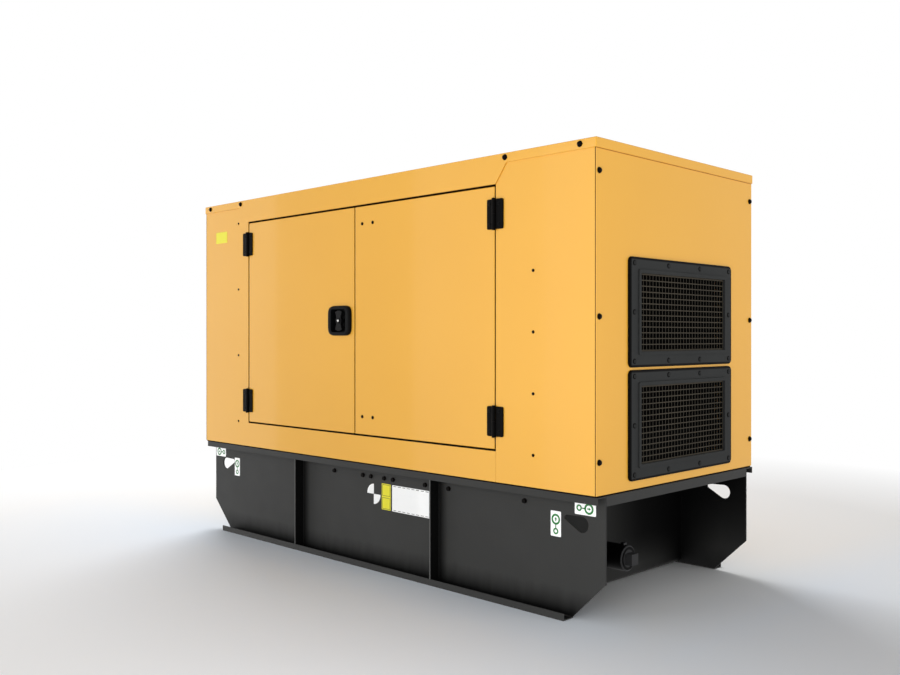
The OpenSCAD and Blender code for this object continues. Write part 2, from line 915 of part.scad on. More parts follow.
module engine_block() {
    head_width = 210;
    head_inset = 20;
    rib_count = 6;
    cover_depth = 18;
    runner_diameter = 46;
    runner_count = 4;
    manifold_level = shaft_level + 300;
    manifold_start = engine_back + 50;
    manifold_length = engine_length - 110;
    color("#9a9a92") {
        extrude_right(engine_back, engine_length) translate([0, shaft_level]) crankcase_outline();
        bar([engine_back - flywheel_housing, 0, shaft_level], flywheel_housing + weld,
            alternator_diameter + 30);
        // Ribs across the flanks of the crankcase
        for (rib = [1 : rib_count])
            translate([engine_back + rib * engine_length / (rib_count + 1), 0, 0])
                block([-5, -158, shaft_level], [5, 158, shaft_level + 170]);
        // Rail along the joint of crankcase and sump
        block([engine_back, -176, shaft_level - 78], [engine_front, 176, shaft_level - 66]);
        // Cylinder head
        block([engine_back + head_inset, -head_width / 2, crankcase_top - weld],
            [engine_front - head_inset, head_width / 2, head_top]);
        // Timing cover, pulleys and the shaft of the fan
        block([engine_front - weld, -125, shaft_level - 100],
            [engine_front + cover_depth, 125, crankcase_top - 20]);
        pulley([engine_front + cover_depth - weld, 0, shaft_level], 190);
        pulley([engine_front + cover_depth - weld, 0, fan_level], 110);
        bar([engine_front, 0, fan_level], fan_shaft, 40);
        // Exhaust manifold on the front flank and the flange of its outlet
        bar([manifold_start, -manifold_place, manifold_level], manifold_length, 60);
        for (runner = [0 : runner_count - 1])
            translate([manifold_start + (runner + 0.5) * manifold_length / runner_count,
                -manifold_place, manifold_level])
                rotate([-90, 0, 0]) cylinder(h = manifold_place - head_width / 2 + weld, d = runner_diameter);
        translate([exhaust_outlet, -manifold_place, manifold_level])
            cylinder(h = head_top - manifold_level, d = 92);
        // Intake manifold on the back flank
        block([manifold_start, head_width / 2 - weld, crankcase_top + 16],
            [manifold_start + manifold_length, head_width / 2 + 80, head_top]);
        // Starter motor beside the flywheel housing
        bar([engine_back - weld, 195, shaft_level - 60], 210, 92);
        bar([engine_back - weld, 195, shaft_level + 4], 130, 50);
        machine_feet(engine_front - 160, engine_front - 80, 120, shaft_level);
    }
}

// Cover over the valve gear, with its filler cap
module rocker_cover() {
    start = engine_back + 50;
    length = engine_length - 100;
    cap_place = 90;
    color("#3c3c3a") {
        translate([0, 0, head_top]) extrude_right(start, length) {
            translate([-88, 0]) square([176, 10]);
            translate([-80, 0]) square([160, 34]);
            translate([-46, 34]) circle(34);
            translate([46, 34]) circle(34);
            translate([-46, 0]) square([92, 68]);
        }
        translate([start + length - cap_place, 0, head_top]) {
            cylinder(h = 78, d = 62);
            cylinder(h = 90, d = 50);
        }
    }
}

module alternator() {
    radius = alternator_diameter / 2;
    length = alternator_length - fit;
    rib_count = 24;
    slot_count = 10;
    box_start = alternator_left + 50;
    box_end = alternator_left + 330;
    box_half = 140;
    color("#8f8f88") {
        difference() {
            // Barrel with the stepped bell that closes its left end
            turned([alternator_left, 0, shaft_level], [
                [0, -30], [radius - 55, -30], [radius - 30, -14], [radius - 30, 8], [radius - 8, 20],
                [radius - 8, 80], [radius - 14, 86], [radius - 14, length - 80], [radius, length - 74],
                [radius, length], [0, length]
            ]);
            // Cooling slots round the bell
            translate([alternator_left, 0, shaft_level]) for (slot = [0 : slot_count - 1])
                rotate([(slot + 0.5) * 360 / slot_count, 0, 0])
                    block([32, -34, radius - 24], [66, 34, radius + weld]);
        }
        // Ribs along the barrel
        translate([alternator_left, 0, shaft_level]) for (rib = [0 : rib_count - 1])
            rotate([(rib + 0.5) * 360 / rib_count, 0, 0])
                block([84, -3, radius - 30], [length - 76, 3, radius - 4]);
        // Terminal box with its lid
        block([box_start, -box_half, shaft_level + 150], [box_end, box_half, terminal_top - 12]);
        block([box_start - 10, -box_half - 10, terminal_top - 13],
            [box_end + 10, box_half + 10, terminal_top]);
        machine_feet(alternator_left + 60, alternator_left + 200, 110, shaft_level);
    }
}

// Radiator with its tanks and side channels, and the shroud with the ring round the fan
module radiator() {
    half = radiator_width / 2;
    front = radiator_back + radiator_thickness;
    top = bed_top + radiator_height;
    tank = 80;
    channel = 36;
    core_inset = 12;
    shroud_depth = 70;
    shroud = fan_diameter / 2 + 40;
    ring = fan_diameter / 2 + 15;
    ring_wall = 6;
    color("#262626") {
        difference() {
            union() {
                block([radiator_back, -half, bed_top], [front, half, top - 1]);
                block([radiator_back - shroud_depth / 2, -shroud, fan_level - shroud],
                    [radiator_back + weld, shroud, fan_level + shroud]);
                bar([radiator_back - shroud_depth, 0, fan_level], shroud_depth, 2 * (ring + ring_wall));
            }
            bar([radiator_back - shroud_depth - weld, 0, fan_level], shroud_depth, 2 * ring);
            // Core, set back between the channels and the tanks
            block([front - core_inset, channel - half, bed_top + tank],
                [front + weld, half - channel, top - tank]);
        }
        // Header tanks, wider than the core at the top and the bottom
        for (level = [bed_top, top - tank])
            extrude_right(radiator_back - 6, radiator_thickness + 12) translate([0, level])
                polygon([
                    [10 - half, 0], [half - 10, 0], [half - 4, 6], [half - 4, tank - 16],
                    [half - 20, tank], [20 - half, tank], [4 - half, tank - 16], [4 - half, 6]
                ]);
        // Filler neck and cap
        translate([(radiator_back + front) / 2, half / 2, top - weld]) {
            cylinder(h = 16, d = 44);
            cylinder(h = 26, d = 34);
            translate([0, 0, 12]) cylinder(h = 10, d = 58);
        }
    }
}

module cooling_fan() {
    hub_length = 50;
    hub_diameter = 130;
    blade_thickness = 4;
    blade_width = 90;
    blade_root = 50;
    blade_pitch = 32;
    color("#1e1e1e") translate([engine_front + fan_shaft + fit, 0, fan_level]) rotate([0, 90, 0]) {
        cylinder(h = hub_length, d = hub_diameter);
        cylinder(h = hub_length + 12, d = hub_diameter / 2);
        for (blade = [0 : fan_blades - 1])
            rotate([0, 0, blade * 360 / fan_blades]) translate([blade_root, 0, hub_length / 2])
                rotate([blade_pitch, 0, 0]) translate([0, -blade_width / 2, -blade_thickness / 2])
                    cube([fan_diameter / 2 - blade_root, blade_width, blade_thickness]);
    }
}

// Air cleaner over the intake manifold, and the pipe down to the manifold
module air_cleaner() {
    radius = 95;
    length = 330;
    place = engine_back + 210;
    level = head_top + 200;
    pipe_place = 60;
    color("#1e1e1e") {
        turned([place, manifold_place, level], [
            [0, 0], [radius - 30, 0], [radius - 4, 14], [radius - 4, 30], [radius, 34],
            [radius, 44], [radius - 4, 48], [radius - 4, length - 60], [radius, length - 56],
            [radius, length - 12], [radius - 12, length], [55, length], [55, length + 50], [0, length + 50]
        ]);
        translate([place + pipe_place, manifold_place, head_top]) {
            cylinder(h = level - head_top, d = 74);
            cylinder(h = 12, d = 96);
        }
    }
}

// Silencer over the alternator, its bracket, and the pipe from the exhaust manifold
module silencer() {
    radius = 92;
    cone = 40;
    length = 420;
    pipe = 56;
    bend = 64;
    level = shaft_level + 470;
    start = alternator_left + 60;
    bracket = [70, 100];
    color("#77746e") {
        turned([start, -manifold_place, level], [
            [0, 0], [pipe / 2, 0], [radius, cone], [radius, length - cone], [pipe / 2, length], [0, length]
        ]);
        // Pipe from the right end, bent down to the flange on the manifold
        bar([start + length - weld, -manifold_place, level], exhaust_outlet - bend - start - length + weld,
            pipe);
        translate([exhaust_outlet - bend, -manifold_place, level - bend]) rotate([90, 0, 0])
            rotate_extrude(angle = 90) translate([bend, 0]) circle(d = pipe);
        translate([exhaust_outlet, -manifold_place, head_top])
            cylinder(h = level - bend - head_top, d = pipe);
        translate([exhaust_outlet, -manifold_place, head_top]) cylinder(h = 12, d = 92);
        // Stub of the tail pipe and the bracket that stands on the terminal box
        bar([start - 50, -manifold_place, level], 50 + weld, pipe);
        block([start + bracket[0], -manifold_place, terminal_top],
            [start + bracket[1], 30 - manifold_place, level - radius / 2]);
        block([start + bracket[0] + 120, -manifold_place, terminal_top],
            [start + bracket[1] + 120, 30 - manifold_place, level - radius / 2]);
    }
}

// Control cabinet on two posts, with its door towards the doorway
module control_box() {
    left = alternator_left - 330;
    right = alternator_left - 60;
    front = -330;
    back = 60;
    bottom = deck_top + 470;
    height = 430;
    margin = 12;
    door = 16;
    post = 40;
    foot = 80;
    color("#d0d0ca") {
        block([left, front + door, bottom], [right, back, bottom + height]);
        translate([(left + right) / 2, front + door + weld, bottom + height / 2]) rotate([90, 0, 0])
            soft_plate(right - left - 2 * margin, height - 2 * margin, door + weld, 8, 6);
        // Posts that stand on the deck, each on a foot plate
        for (place = [front + 2 * post, back - 2 * post]) {
            block([left + 2 * post, place, deck_top], [left + 3 * post, place + post, bottom + weld]);
            block([left + 2.5 * post - foot, place - post / 2, deck_top],
                [left + 2.5 * post + foot, place + 1.5 * post, deck_top + 8]);
        }
    }
}

// Starter battery with its lid, two terminals and the strap that holds it down
module battery() {
    left = alternator_left - 420;
    right = alternator_left - 120;
    front = 60;
    back = 240;
    height = 220;
    lid = 34;
    inset = 4;
    color("#202020") {
        block([left + inset, front + inset, deck_top],
            [right - inset, back - inset, deck_top + height - lid + weld]);
        block([left, front, deck_top + height - lid], [right, back, deck_top + height]);
        for (place = [left + 40, right - 40])
            translate([place, front + 45, deck_top + height - weld]) cylinder(h = 18 + weld, d = 18);
        block([(left + right) / 2 - 15, front - inset, deck_top],
            [(left + right) / 2 + 15, back + inset, deck_top + height + inset]);
    }
}

front_skid_web();
back_skid_web();
top_rails();
foot_rails();
skid_ribs();
end_cross_members();
deck_plate();
fuel_tank();
tank_drain();
canopy_seal();
roof();
right_end_panel();
left_end_panel();
front_right_panel();
front_left_panel();
back_right_panel();
back_left_panel();
corner_seals();
front_left_door();
front_left_lining();
front_left_hinge_leaves();
front_right_door();
front_right_lining();
front_right_hinge_leaves();
frame_hinge_leaves();
back_doors();
back_hinges();
latch_bezel();
latch_handle();
back_latch();
right_grille_frames();
right_upper_mesh();
right_lower_mesh();
left_grille_frames();
left_upper_mesh();
left_lower_mesh();
engine_bed();
engine_block();
rocker_cover();
alternator();
radiator();
cooling_fan();
air_cleaner();
silencer();
control_box();
battery();
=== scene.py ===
from math import asin, cos, inf, pi, radians, sin, sqrt, tau

import bmesh
import bpy
from mathutils import Matrix, Vector


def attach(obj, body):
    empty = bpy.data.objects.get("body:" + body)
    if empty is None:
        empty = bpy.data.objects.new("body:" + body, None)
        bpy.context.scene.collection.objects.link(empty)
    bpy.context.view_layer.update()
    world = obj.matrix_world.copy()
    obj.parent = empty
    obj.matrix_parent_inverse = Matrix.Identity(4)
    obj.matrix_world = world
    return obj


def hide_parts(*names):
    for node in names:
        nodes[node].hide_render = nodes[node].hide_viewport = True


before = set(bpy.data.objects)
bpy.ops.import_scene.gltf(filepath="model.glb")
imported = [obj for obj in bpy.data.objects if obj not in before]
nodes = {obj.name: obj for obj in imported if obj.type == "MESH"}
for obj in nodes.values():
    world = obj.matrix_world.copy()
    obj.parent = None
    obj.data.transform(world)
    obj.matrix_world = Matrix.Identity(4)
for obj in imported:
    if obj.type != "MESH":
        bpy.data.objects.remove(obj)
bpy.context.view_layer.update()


# ---- Skid base ----
# Folded steel side webs, top and foot rails, ribs and end cross members, welded into one skid.
# All of it is powder coated satin black. Fillet welds run along the webs, and a row of hexagon
# bolts near the top of each web holds the tank's straps.

def maths(operation, backwards=False, **settings):
    """A method of Wire that adds one Math node."""
    def method(wire, *others):
        values = (wire, *others)[::-1 if backwards else 1]
        return wire.shades.node("Math", enumerate(values), operation=operation, **settings)
    return method


class Wire:
    """A socket inside a node tree. Arithmetic on it adds Math nodes."""

    def __init__(self, shades, socket):
        self.shades = shades
        self.socket = socket

    __add__ = __radd__ = maths("ADD")
    __sub__ = maths("SUBTRACT")
    __rsub__ = maths("SUBTRACT", backwards=True)
    __mul__ = __rmul__ = maths("MULTIPLY")
    __pow__ = maths("POWER")
    sine = maths("SINE")
    size = maths("ABSOLUTE")
    larger = maths("MAXIMUM")
    below = maths("LESS_THAN")

    def clipped(self):
        return maths("MULTIPLY", use_clamp=True)(self, 1.0)

    def between(self, low, high):
        """0 at low, 1 at high, and a straight ramp from one to the other."""
        return self.shades.node("MapRange", {"Value": self, "From Min": low, "From Max": high})


class Shades:
    """A node tree, and one method that adds any node to it."""

    def __init__(self, tree):
        self.tree = tree

    def feed(self, socket, value):
        if isinstance(value, Wire):
            self.tree.links.new(value.socket, socket)
        else:
            socket.default_value = value

    def node(self, kind, inputs=(), output=0, **settings):
        made = self.tree.nodes.new("ShaderNode" + kind)
        for name, value in settings.items():
            setattr(made, name, value)
        for key, value in dict(inputs).items():
            self.feed(made.inputs[key], value)
        return Wire(self, made.outputs[output])


class Finish(Shades):
    """A material with its Principled shader."""

    def __init__(self, name, roughness, specular=0.5, metallic=0.0, coat=0.0, coat_roughness=0.03):
        self.material = bpy.data.materials.new(name)
        self.material.use_nodes = True
        super().__init__(self.material.node_tree)
        self.shader = self.tree.nodes["Principled BSDF"]
        values = {"Roughness": roughness, "Specular IOR Level": specular, "Metallic": metallic,
                  "Coat Weight": coat, "Coat Roughness": coat_roughness}
        for socket, value in values.items():
            self.shader.inputs[socket].default_value = value

    def place(self):
        """Position on the piece at rest, in metres."""
        return self.node("TexCoord", output="Object")

    def axis(self, name):
        return self.node("SeparateXYZ", {"Vector": self.place()}, name)

    def facing(self, name):
        """How far the surface faces along one axis."""
        normal = self.node("TexCoord", output="Normal")
        return self.node("SeparateXYZ", {"Vector": normal}, name)

    def noise(self, scale, detail=2.0, stretch=(1, 1, 1)):
        spread = self.node("Mapping", {"Vector": self.place(), "Scale": stretch})
        return self.node("TexNoise", {"Vector": spread, "Scale": scale, "Detail": detail})

    def mix(self, factor, first, second):
        """Blends two colours. Plain ones are written from 0 to 255, as they look on a screen."""
        first, second = (rgb(*value) if isinstance(value, tuple) else value for value in (first, second))
        return self.node("Mix", {0: factor, 6: first, 7: second}, 2, data_type="RGBA")

    def colour(self, value):
        self.feed(self.shader.inputs["Base Color"], value)

    def mottle(self, scale, detail, dark, light):
        """Colours the surface in soft patches."""
        self.colour(self.mix(self.noise(scale, detail), dark, light))
        return self

    def rough(self, value):
        self.feed(self.shader.inputs["Roughness"], value)

    def relief(self, height, distance):
        """Raises the surface by height times distance, in metres."""
        bump = self.node("Bump", {"Height": height, "Distance": distance, "Strength": 1.0})
        self.feed(self.shader.inputs["Normal"], bump)


def rgb(red, green, blue):
    """Colour written as it looks on a screen, from 0 to 255, for a shader."""
    def straight(part):
        part /= 255
        return part / 12.92 if part <= 0.04045 else ((part + 0.055) / 1.055) ** 2.4
    return (straight(red), straight(green), straight(blue), 1.0)


def coat(finish, *names):
    for name in names:
        nodes[name].data.materials.clear()
        nodes[name].data.materials.append(finish.material)


def powder_coat(name, dark, light, dusty=0.0, gloss=0.4, level=0.3, painted_light=None, painted_shade=(11, 11, 11)):
    """Textured satin coat with dust on what faces up. An optional function gives how far each point is
    out of painted shade; where it gives 0 the coat is painted near black as shade."""
    finish = Finish(name, roughness=gloss, specular=level)
    shade = finish.mix(finish.noise(5, 3), dark, light)
    # Painted shade: the coat is mixed towards a near black colour where the function gives 0.
    if painted_light:
        shade = finish.mix(painted_light(finish), painted_shade, shade)
    patches = finish.noise(22, 5).between(0.35, 0.75)
    dust = (finish.facing("Z").between(0.6, 1.0) * patches * dusty).clipped()
    finish.colour(finish.mix(dust, shade, (150, 144, 132)))
    finish.rough(finish.noise(14, 3) * 0.14 + (gloss - 0.06) + dust * 0.3)
    finish.relief(finish.noise(900, 2), 0.0001)
    return finish


web_face = 0.472
rib_places = (0.415, -0.442)
rib_half = 0.003
foot_top = 0.004
rail_under = 0.418


def web_painted_light(finish):
    """Painted shade in the gutter behind the foot rail, a painted shadow beside each rib, and painted
    shade inside the webs, lifted by painted light near the open ends.
    """
    across = finish.axis("X")
    painted_light = (finish.axis("Z") + finish.noise(30, 3, (1, 1, 0.2)) * 0.03).between(0.03, 0.11)
    for rib in rib_places:
        beside = across - rib
        painted_light = painted_light * (beside.between(0.002, 0.05) + beside.below(0.0)).clipped()
    outer = (finish.facing("Y") * finish.axis("Y")).between(-0.1, 0.1)
    open_end = across.size().between(0.92, 1.08) * finish.axis("Z").between(0.36, 0.06) ** 2
    return painted_light * outer.larger(open_end * 0.75)


# Painted shade on both sides of each rib.
def rib_painted_light(finish):
    return 1.0 - finish.facing("X").size().between(0.3, 0.6)


def rail_painted_light(finish):
    """Painted shade on top of each flange, but not along the edge of the foot rail's lip."""
    height = finish.axis("Z")
    lip_edge = height.between(0.008, 0.012) * height.between(0.4, 0.39)
    return 1.0 - finish.facing("Z").between(0.3, 0.6) * (1.0 - lip_edge)


web_black = powder_coat(
    "web_powder_coat", (53, 53, 52), (59, 59, 58), 0.3, gloss=0.5, level=0.1, painted_light=web_painted_light)
# The ribs take the webs' coat painted lighter, a painted highlight on their fronts.
rib_highlight_coat = powder_coat(
    "rib_coat_painted_highlight", (80, 80, 79), (92, 92, 91), gloss=0.5, level=0.12, painted_light=rib_painted_light)
rail_black = powder_coat(
    "rail_powder_coat", (50, 50, 49), (58, 58, 57), gloss=0.5, level=0.12, painted_light=rail_painted_light)
base_black = powder_coat(
    "skid_powder_coat", (46, 46, 45), (54, 54, 53), 0.3, gloss=0.5, level=0.12)
coat(web_black, "front_skid_web", "back_skid_web")
coat(rib_highlight_coat, "skid_ribs")
coat(rail_black, "top_rails", "foot_rails")
coat(base_black, "end_cross_members", "deck_plate")


def circle(steps, sides=0):
    """Points on a circle of radius 1, or on the polygon of that many sides inside it."""
    points = []
    for step in range(steps):
        turn = tau * step / steps
        reach = 1.0
        if sides:
            part = tau / sides
            reach = cos(part / 2) / cos((turn % part) - part / 2)
        points.append((reach * cos(turn), reach * sin(turn)))
    return points


def rounded(width, height, corner, steps=4):
    """Rectangle about the origin with rounded corners."""
    points = []
    for quarter, (side, end) in enumerate(((1, 1), (-1, 1), (-1, -1), (1, -1))):
        for step in range(steps + 1):
            turn = pi / 2 * (quarter + step / steps)
            points.append((side * (width / 2 - corner) + corner * cos(turn),
                           end * (height / 2 - corner) + corner * sin(turn)))
    return points


def inset(outline, inward):
    """The outline with each edge moved in."""
    moved = []
    for place, point in enumerate(outline):
        here = Vector(point)
        back = (here - Vector(outline[place - 1])).normalized()
        ahead = (Vector(outline[(place + 1) % len(outline)]) - here).normalized()
        turned = Vector((-back.y, back.x)) + Vector((-ahead.y, ahead.x))
        moved.append(here + turned * (inward * 2 / turned.length_squared))
    return moved


def placed(name, data):
    """A new object in the scene."""
    thing = bpy.data.objects.new(name, data)
    bpy.context.scene.collection.objects.link(thing)
    return thing


class Form:
    """Points and faces of one piece, built up from turned, cut and swept forms."""

    def __init__(self):
        self.points = []
        self.faces = []
        self.layers = []

    def loops(self, rings, layer=0, capped=True):
        """Skins rings of points. Each ring has the same count."""
        start = len(self.points)
        count = len(rings[0])
        for ring in rings:
            self.points.extend(Vector(point) for point in ring)
        for row in range(start, start + count * (len(rings) - 1), count):
            for step in range(count):
                beside = (step + 1) % count
                self.faces.append((row + step, row + beside, row + count + beside, row + count + step))
        if capped:
            last = start + count * (len(rings) - 1)
            self.faces.append(tuple(range(start + count - 1, start - 1, -1)))
            self.faces.append(tuple(range(last, last + count)))
        self.layers.extend([layer] * (len(self.faces) - len(self.layers)))
        return self

    def turned(self, profile, steps=20, layer=0, capped=True):
        """Turns (radius, height) pairs about the upright axis. A third number makes a polygon."""
        return self.loops([[(radius * x, radius * y, height) for x, y in circle(steps, *sides)]
                           for radius, height, *sides in profile], layer, capped)

    def cut(self, outline, levels, layer=0, capped=True):
        """Stacks an outline at (height, how far in) levels."""
        return self.loops([[(*point, height) for point in inset(outline, inward)]
                           for height, inward in levels], layer, capped)

    def block(self, low, high, edge=0.0, layer=0):
        """Box with its upright and top edges chamfered."""
        box = Form().cut(rounded(high[0] - low[0], high[1] - low[1], max(edge, 0.00001), 1),
                         [(low[2], 0), (high[2] - edge, 0), (high[2], edge * 0.7)])
        return self.add(box, ((low[0] + high[0]) / 2, (low[1] + high[1]) / 2, 0), layer=layer)

    def tube(self, route, radius, sides=10, layer=0):
        """Sweeps a circle along a route. The radius is a number, or one for each point."""
        route = [Vector(point) for point in route]
        across = None
        rings = []
        for place, point in enumerate(route):
            ahead = (route[min(place + 1, len(route) - 1)] - route[max(place - 1, 0)]).normalized()
            across = across or ahead.orthogonal()
            across = (across - ahead * ahead.dot(across)).normalized()
            other = ahead.cross(across)
            size = radius[place] if isinstance(radius, list) else radius
            rings.append([point + (across * x + other * y) * size for x, y in circle(sides)])
        return self.loops(rings, layer)

    def add(self, other, place, facing=(0, 0, 1), turn=0.0, layer=None):
        """Adds a copy of another form, with its upright axis along facing."""
        out = Vector(facing)
        up = Vector((0, 1, 0)) if abs(out.z) > 0.5 else Vector((0, 0, 1))
        side = up.cross(out)
        stand = Matrix((side, up, out)).transposed() @ Matrix.Rotation(turn, 3, "Z")
        start = len(self.points)
        self.points.extend(stand @ point + Vector(place) for point in other.points)
        self.faces.extend(tuple(start + corner for corner in face) for face in other.faces)
        self.layers.extend(other.layers if layer is None else [layer] * len(other.faces))
        return self

    def spread(self, other, places, facing=(0, 0, 1), **settings):
        """Adds a copy of another form at each place."""
        for place in places:
            self.add(other, place, facing, **settings)
        return self

    def mirrored(self):
        """Adds the same form on the other long side."""
        start = len(self.points)
        self.points.extend([Vector((point.x, -point.y, point.z)) for point in self.points])
        self.faces.extend([tuple(start + corner for corner in face) for face in self.faces])
        self.layers *= 2
        return self

    def made(self, name, slot, *finishes, body="enclosure"):
        mesh = bpy.data.meshes.new(name)
        mesh.from_pydata(self.points, [], self.faces)
        for finish in finishes:
            mesh.materials.append(finish.material)
        mesh.polygons.foreach_set("material_index", self.layers)
        shell = bmesh.new()
        shell.from_mesh(mesh)
        bmesh.ops.recalc_face_normals(shell, faces=shell.faces)
        shell.to_mesh(mesh)
        shell.free()
        mesh.shade_smooth()
        mesh.set_sharp_from_angle(angle=radians(35))
        piece = placed(name, mesh)
        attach(piece, body)
        return piece


def weld(form, start, end):
    """Adds a fillet weld with its ripples."""
    radius, ripple = 0.0035, 0.006
    start, end = Vector(start), Vector(end)
    count = max(4, round((end - start).length / ripple) * 2)
    form.tube([start.lerp(end, step / count) for step in range(count + 1)],
              [radius * (1.0 if step % 2 else 0.8) for step in range(count + 1)], 6)


welds = Form()
weld(welds, (-1.03, -web_face, foot_top), (1.048, -web_face, foot_top))
weld(welds, (-1.166, -web_face, rail_under), (1.184, -web_face, rail_under))
for rib in rib_places:
    for line in (rib - rib_half, rib + rib_half):
        weld(welds, (line, -web_face, foot_top), (line, -web_face, rail_under))
welds.mirrored().made("skid_welds", "base_black", web_black)


def hex_bolt(across, head):
    """Flat washer under a hexagon head with its chamfer."""
    radius = across / sqrt(3)
    bolt = Form().turned([(across * 0.62, 0), (across * 0.62, 0.0016), (across * 0.5, 0.0018)], 24)
    return bolt.turned([(radius, 0.0016, 6), (radius, 0.0016 + head * 0.75, 6),
                        (across * 0.5, 0.0016 + head), (across * 0.4, 0.0016 + head)], 24)


fixing_black = powder_coat("fixing_black", (10, 8, 7), (15, 12, 11), level=0.03)
web_bolts = Form()
bolt_level = 0.367
for place in (0.844, 0.471, 0.343, 0.157, 0.104, 0.022, -0.029, -0.218):
    web_bolts.add(hex_bolt(0.015, 0.006), (place, -web_face, bolt_level), (0, -1, 0), place * 9)
web_bolts.mirrored().made("web_bolts", "base_black", fixing_black)


# ---- Plates on the base ----
# Printed aluminium plates glued on the front web: two lifting signs at each eye, the quartered
# mark of the balance point, and two plates with nothing on them but their borders.

plate_thickness = 0.0006
print_height = 0.0002


def enamel(name, colour, worn, lacquer=0.0):
    finish = Finish(name, roughness=0.3, specular=0.3 + lacquer / 2, coat=lacquer)
    finish.colour(finish.mix(finish.noise(40, 4).between(0.55, 0.9), colour, worn))
    finish.rough(finish.noise(120, 2) * 0.2 + 0.25)
    return finish


white_enamel = enamel("plate_white", (253, 254, 253), (248, 249, 247), lacquer=1.0)
green_enamel = enamel("plate_green", (22, 118, 44), (34, 128, 58))
yellow_enamel = enamel("plate_yellow", (238, 229, 40), (228, 219, 48))
black_enamel = enamel("plate_black", (34, 36, 34), (50, 52, 50))


def plate(width, height):
    corner, edge = 0.003, plate_thickness / 3
    return Form().cut(
        rounded(width, height, corner), [(0, 0), (plate_thickness - edge, 0), (plate_thickness, edge)])


def printed(form, outline, hollow=None):
    """A flat figure on a plate. With hollow, a band of that width round the outline."""
    levels = [(plate_thickness, 0), (plate_thickness + print_height, 0)]
    if hollow:
        levels += [(height, hollow) for height, _ in levels[::-1]] + levels[:1]
    form.cut(outline, levels, 1, capped=not hollow)


# The lifting sign: a shackle ring with an arrow in it, over a stem and a smaller eye
lifting_sign = plate(0.044, 0.086)
for centre, radius, band in ((0.015, 0.0185, 0.0068), (-0.025, 0.011, 0.0055)):
    printed(lifting_sign, [(x * radius, y * radius + centre) for x, y in circle(28)], band)
printed(lifting_sign, [(0.0018, -0.0165), (-0.0018, -0.0165), (-0.0022, 0), (0.0022, 0)])
printed(lifting_sign, [(0, 0.0225), (-0.0056, 0.0145), (-0.0018, 0.0145), (-0.0018, 0.008),
                       (0.0018, 0.008), (0.0018, 0.0145), (0.0056, 0.0145)])

signs = Form()
for across, level, turn in ((0.982, 0.3065, 0), (1.105, 0.373, -pi / 2),
                            (-0.975, 0.309, 0), (-1.12, 0.37, pi / 2)):
    signs.add(lifting_sign, (across, -web_face, level), (0, -1, 0), turn)
signs.made("lifting_signs", None, white_enamel, green_enamel)

balance_radius = 0.041
balance = Form()
for first in (12, 36):
    arc = [(balance_radius * x, balance_radius * y) for x, y in (circle(48) * 2)[first:first + 13]]
    quarter = Form().cut([(0, 0)] + arc, [(0, 0), (plate_thickness, 0)])
    balance.add(quarter, (0.0385, -web_face, 0.297), (0, -1, 0))
balance.made("balance_mark", None, white_enamel)


def framed(width, height, cells):
    """Plate with a thin printed border round each of its blank cells."""
    margin, line = 0.007, 0.0016
    made = plate(width, height)
    part = height / cells
    for cell in range(cells):
        middle = (cell + 0.5) * part - height / 2
        border = rounded(width - margin, part - margin, 0.002, 2)
        printed(made, [(x, y + middle) for x, y in border], line)
    return made


Form().add(framed(0.054, 0.105, 2), (0.1145, -web_face, 0.293), (0, -1, 0)).made(
    "blank_yellow_plate", None, yellow_enamel, black_enamel)

wide_plate = plate(0.22, 0.105)
dash_start, dash_length, dash_pitch, dash_half = -0.102, 0.017, 0.0265, 0.001
for level in (-0.048, 0.048):
    low, high = level - dash_half, level + dash_half
    for dash in range(8):
        start = dash_start + dash * dash_pitch
        end = start + dash_length
        printed(wide_plate, [(start, low), (end, low), (end, high), (start, high)])
Form().add(wide_plate, (0.2605, -web_face, 0.2925), (0, -1, 0)).made(
    "blank_white_plate", None, white_enamel, black_enamel)


# ---- Fuel tank and its drain ----
# A welded steel tank slung between the webs, with a capped drain boss at the radiator end.
# It has the skid's coat, with shade painted in where it sits under the canopy, and a weld round the boss.

tank_end = 0.896
drain_place = (-0.124, 0.14)
boss_radius = 0.0465


def tank_painted_light(finish):
    """Painted light towards the front web and along the bottom edge; painted shade further in under the
    canopy.
    """
    near = finish.axis("Y").between(0.22, -0.09)
    low = finish.axis("Z").between(0.18, 0.05)
    return (near * near + low * low * finish.axis("Y").between(0.45, 0.1)).clipped()


def drain_painted_light(finish):
    """Painted shade over the boss, with a painted highlight along its front rim; the plug keeps most of
    the coat's colour.
    """
    across, upward = finish.axis("Y") - drain_place[0], finish.axis("Z") - drain_place[1]
    from_axis = (across * across + upward * upward) ** 0.5
    edge = from_axis.between(boss_radius - 0.006, boss_radius - 0.004)
    rim = finish.facing("X").between(0.4, 0.8) * edge
    return (rim + from_axis.between(0.033, 0.03) * 0.8).clipped()


# Near black colour of the tank's and the drain's painted shade.
tank_painted_shade = (6, 6, 6)
tank_black = powder_coat("tank_powder_coat", (47, 47, 46), (54, 54, 53),
                         gloss=0.6, level=0.03, painted_light=tank_painted_light, painted_shade=tank_painted_shade)
coat(tank_black, "fuel_tank")
drain_black = powder_coat("drain_coat", (62, 62, 63), (74, 74, 75),
                          gloss=0.5, level=0.03, painted_light=drain_painted_light, painted_shade=tank_painted_shade)
coat(drain_black, "tank_drain")


def ring(across, middle, radius, steps):
    """Closed route round an axis that lies along X."""
    route = [(across, middle[0] + radius * x, middle[1] + radius * y) for x, y in circle(steps)]
    return route + route[:1]


tank_welds = Form().tube(ring(tank_end, drain_place, boss_radius, 72), [0.003, 0.0036] * 36 + [0.003], 6)
for side in (-0.466, 0.466):
    weld(tank_welds, (tank_end, side, 0.03), (tank_end, side, 0.38))
tank_welds.made("tank_welds", "base_black", tank_black)


# ---- Canopy ----
# Folded sheet steel panels and roof in a glossy golden yellow coat with a faint orange peel.
# Black cap bolts hold the roof's ends and the end panels, small rivets the walls' inner stiffeners
# and larger ones the door stays. A blank plate is glued high on the front's left end.

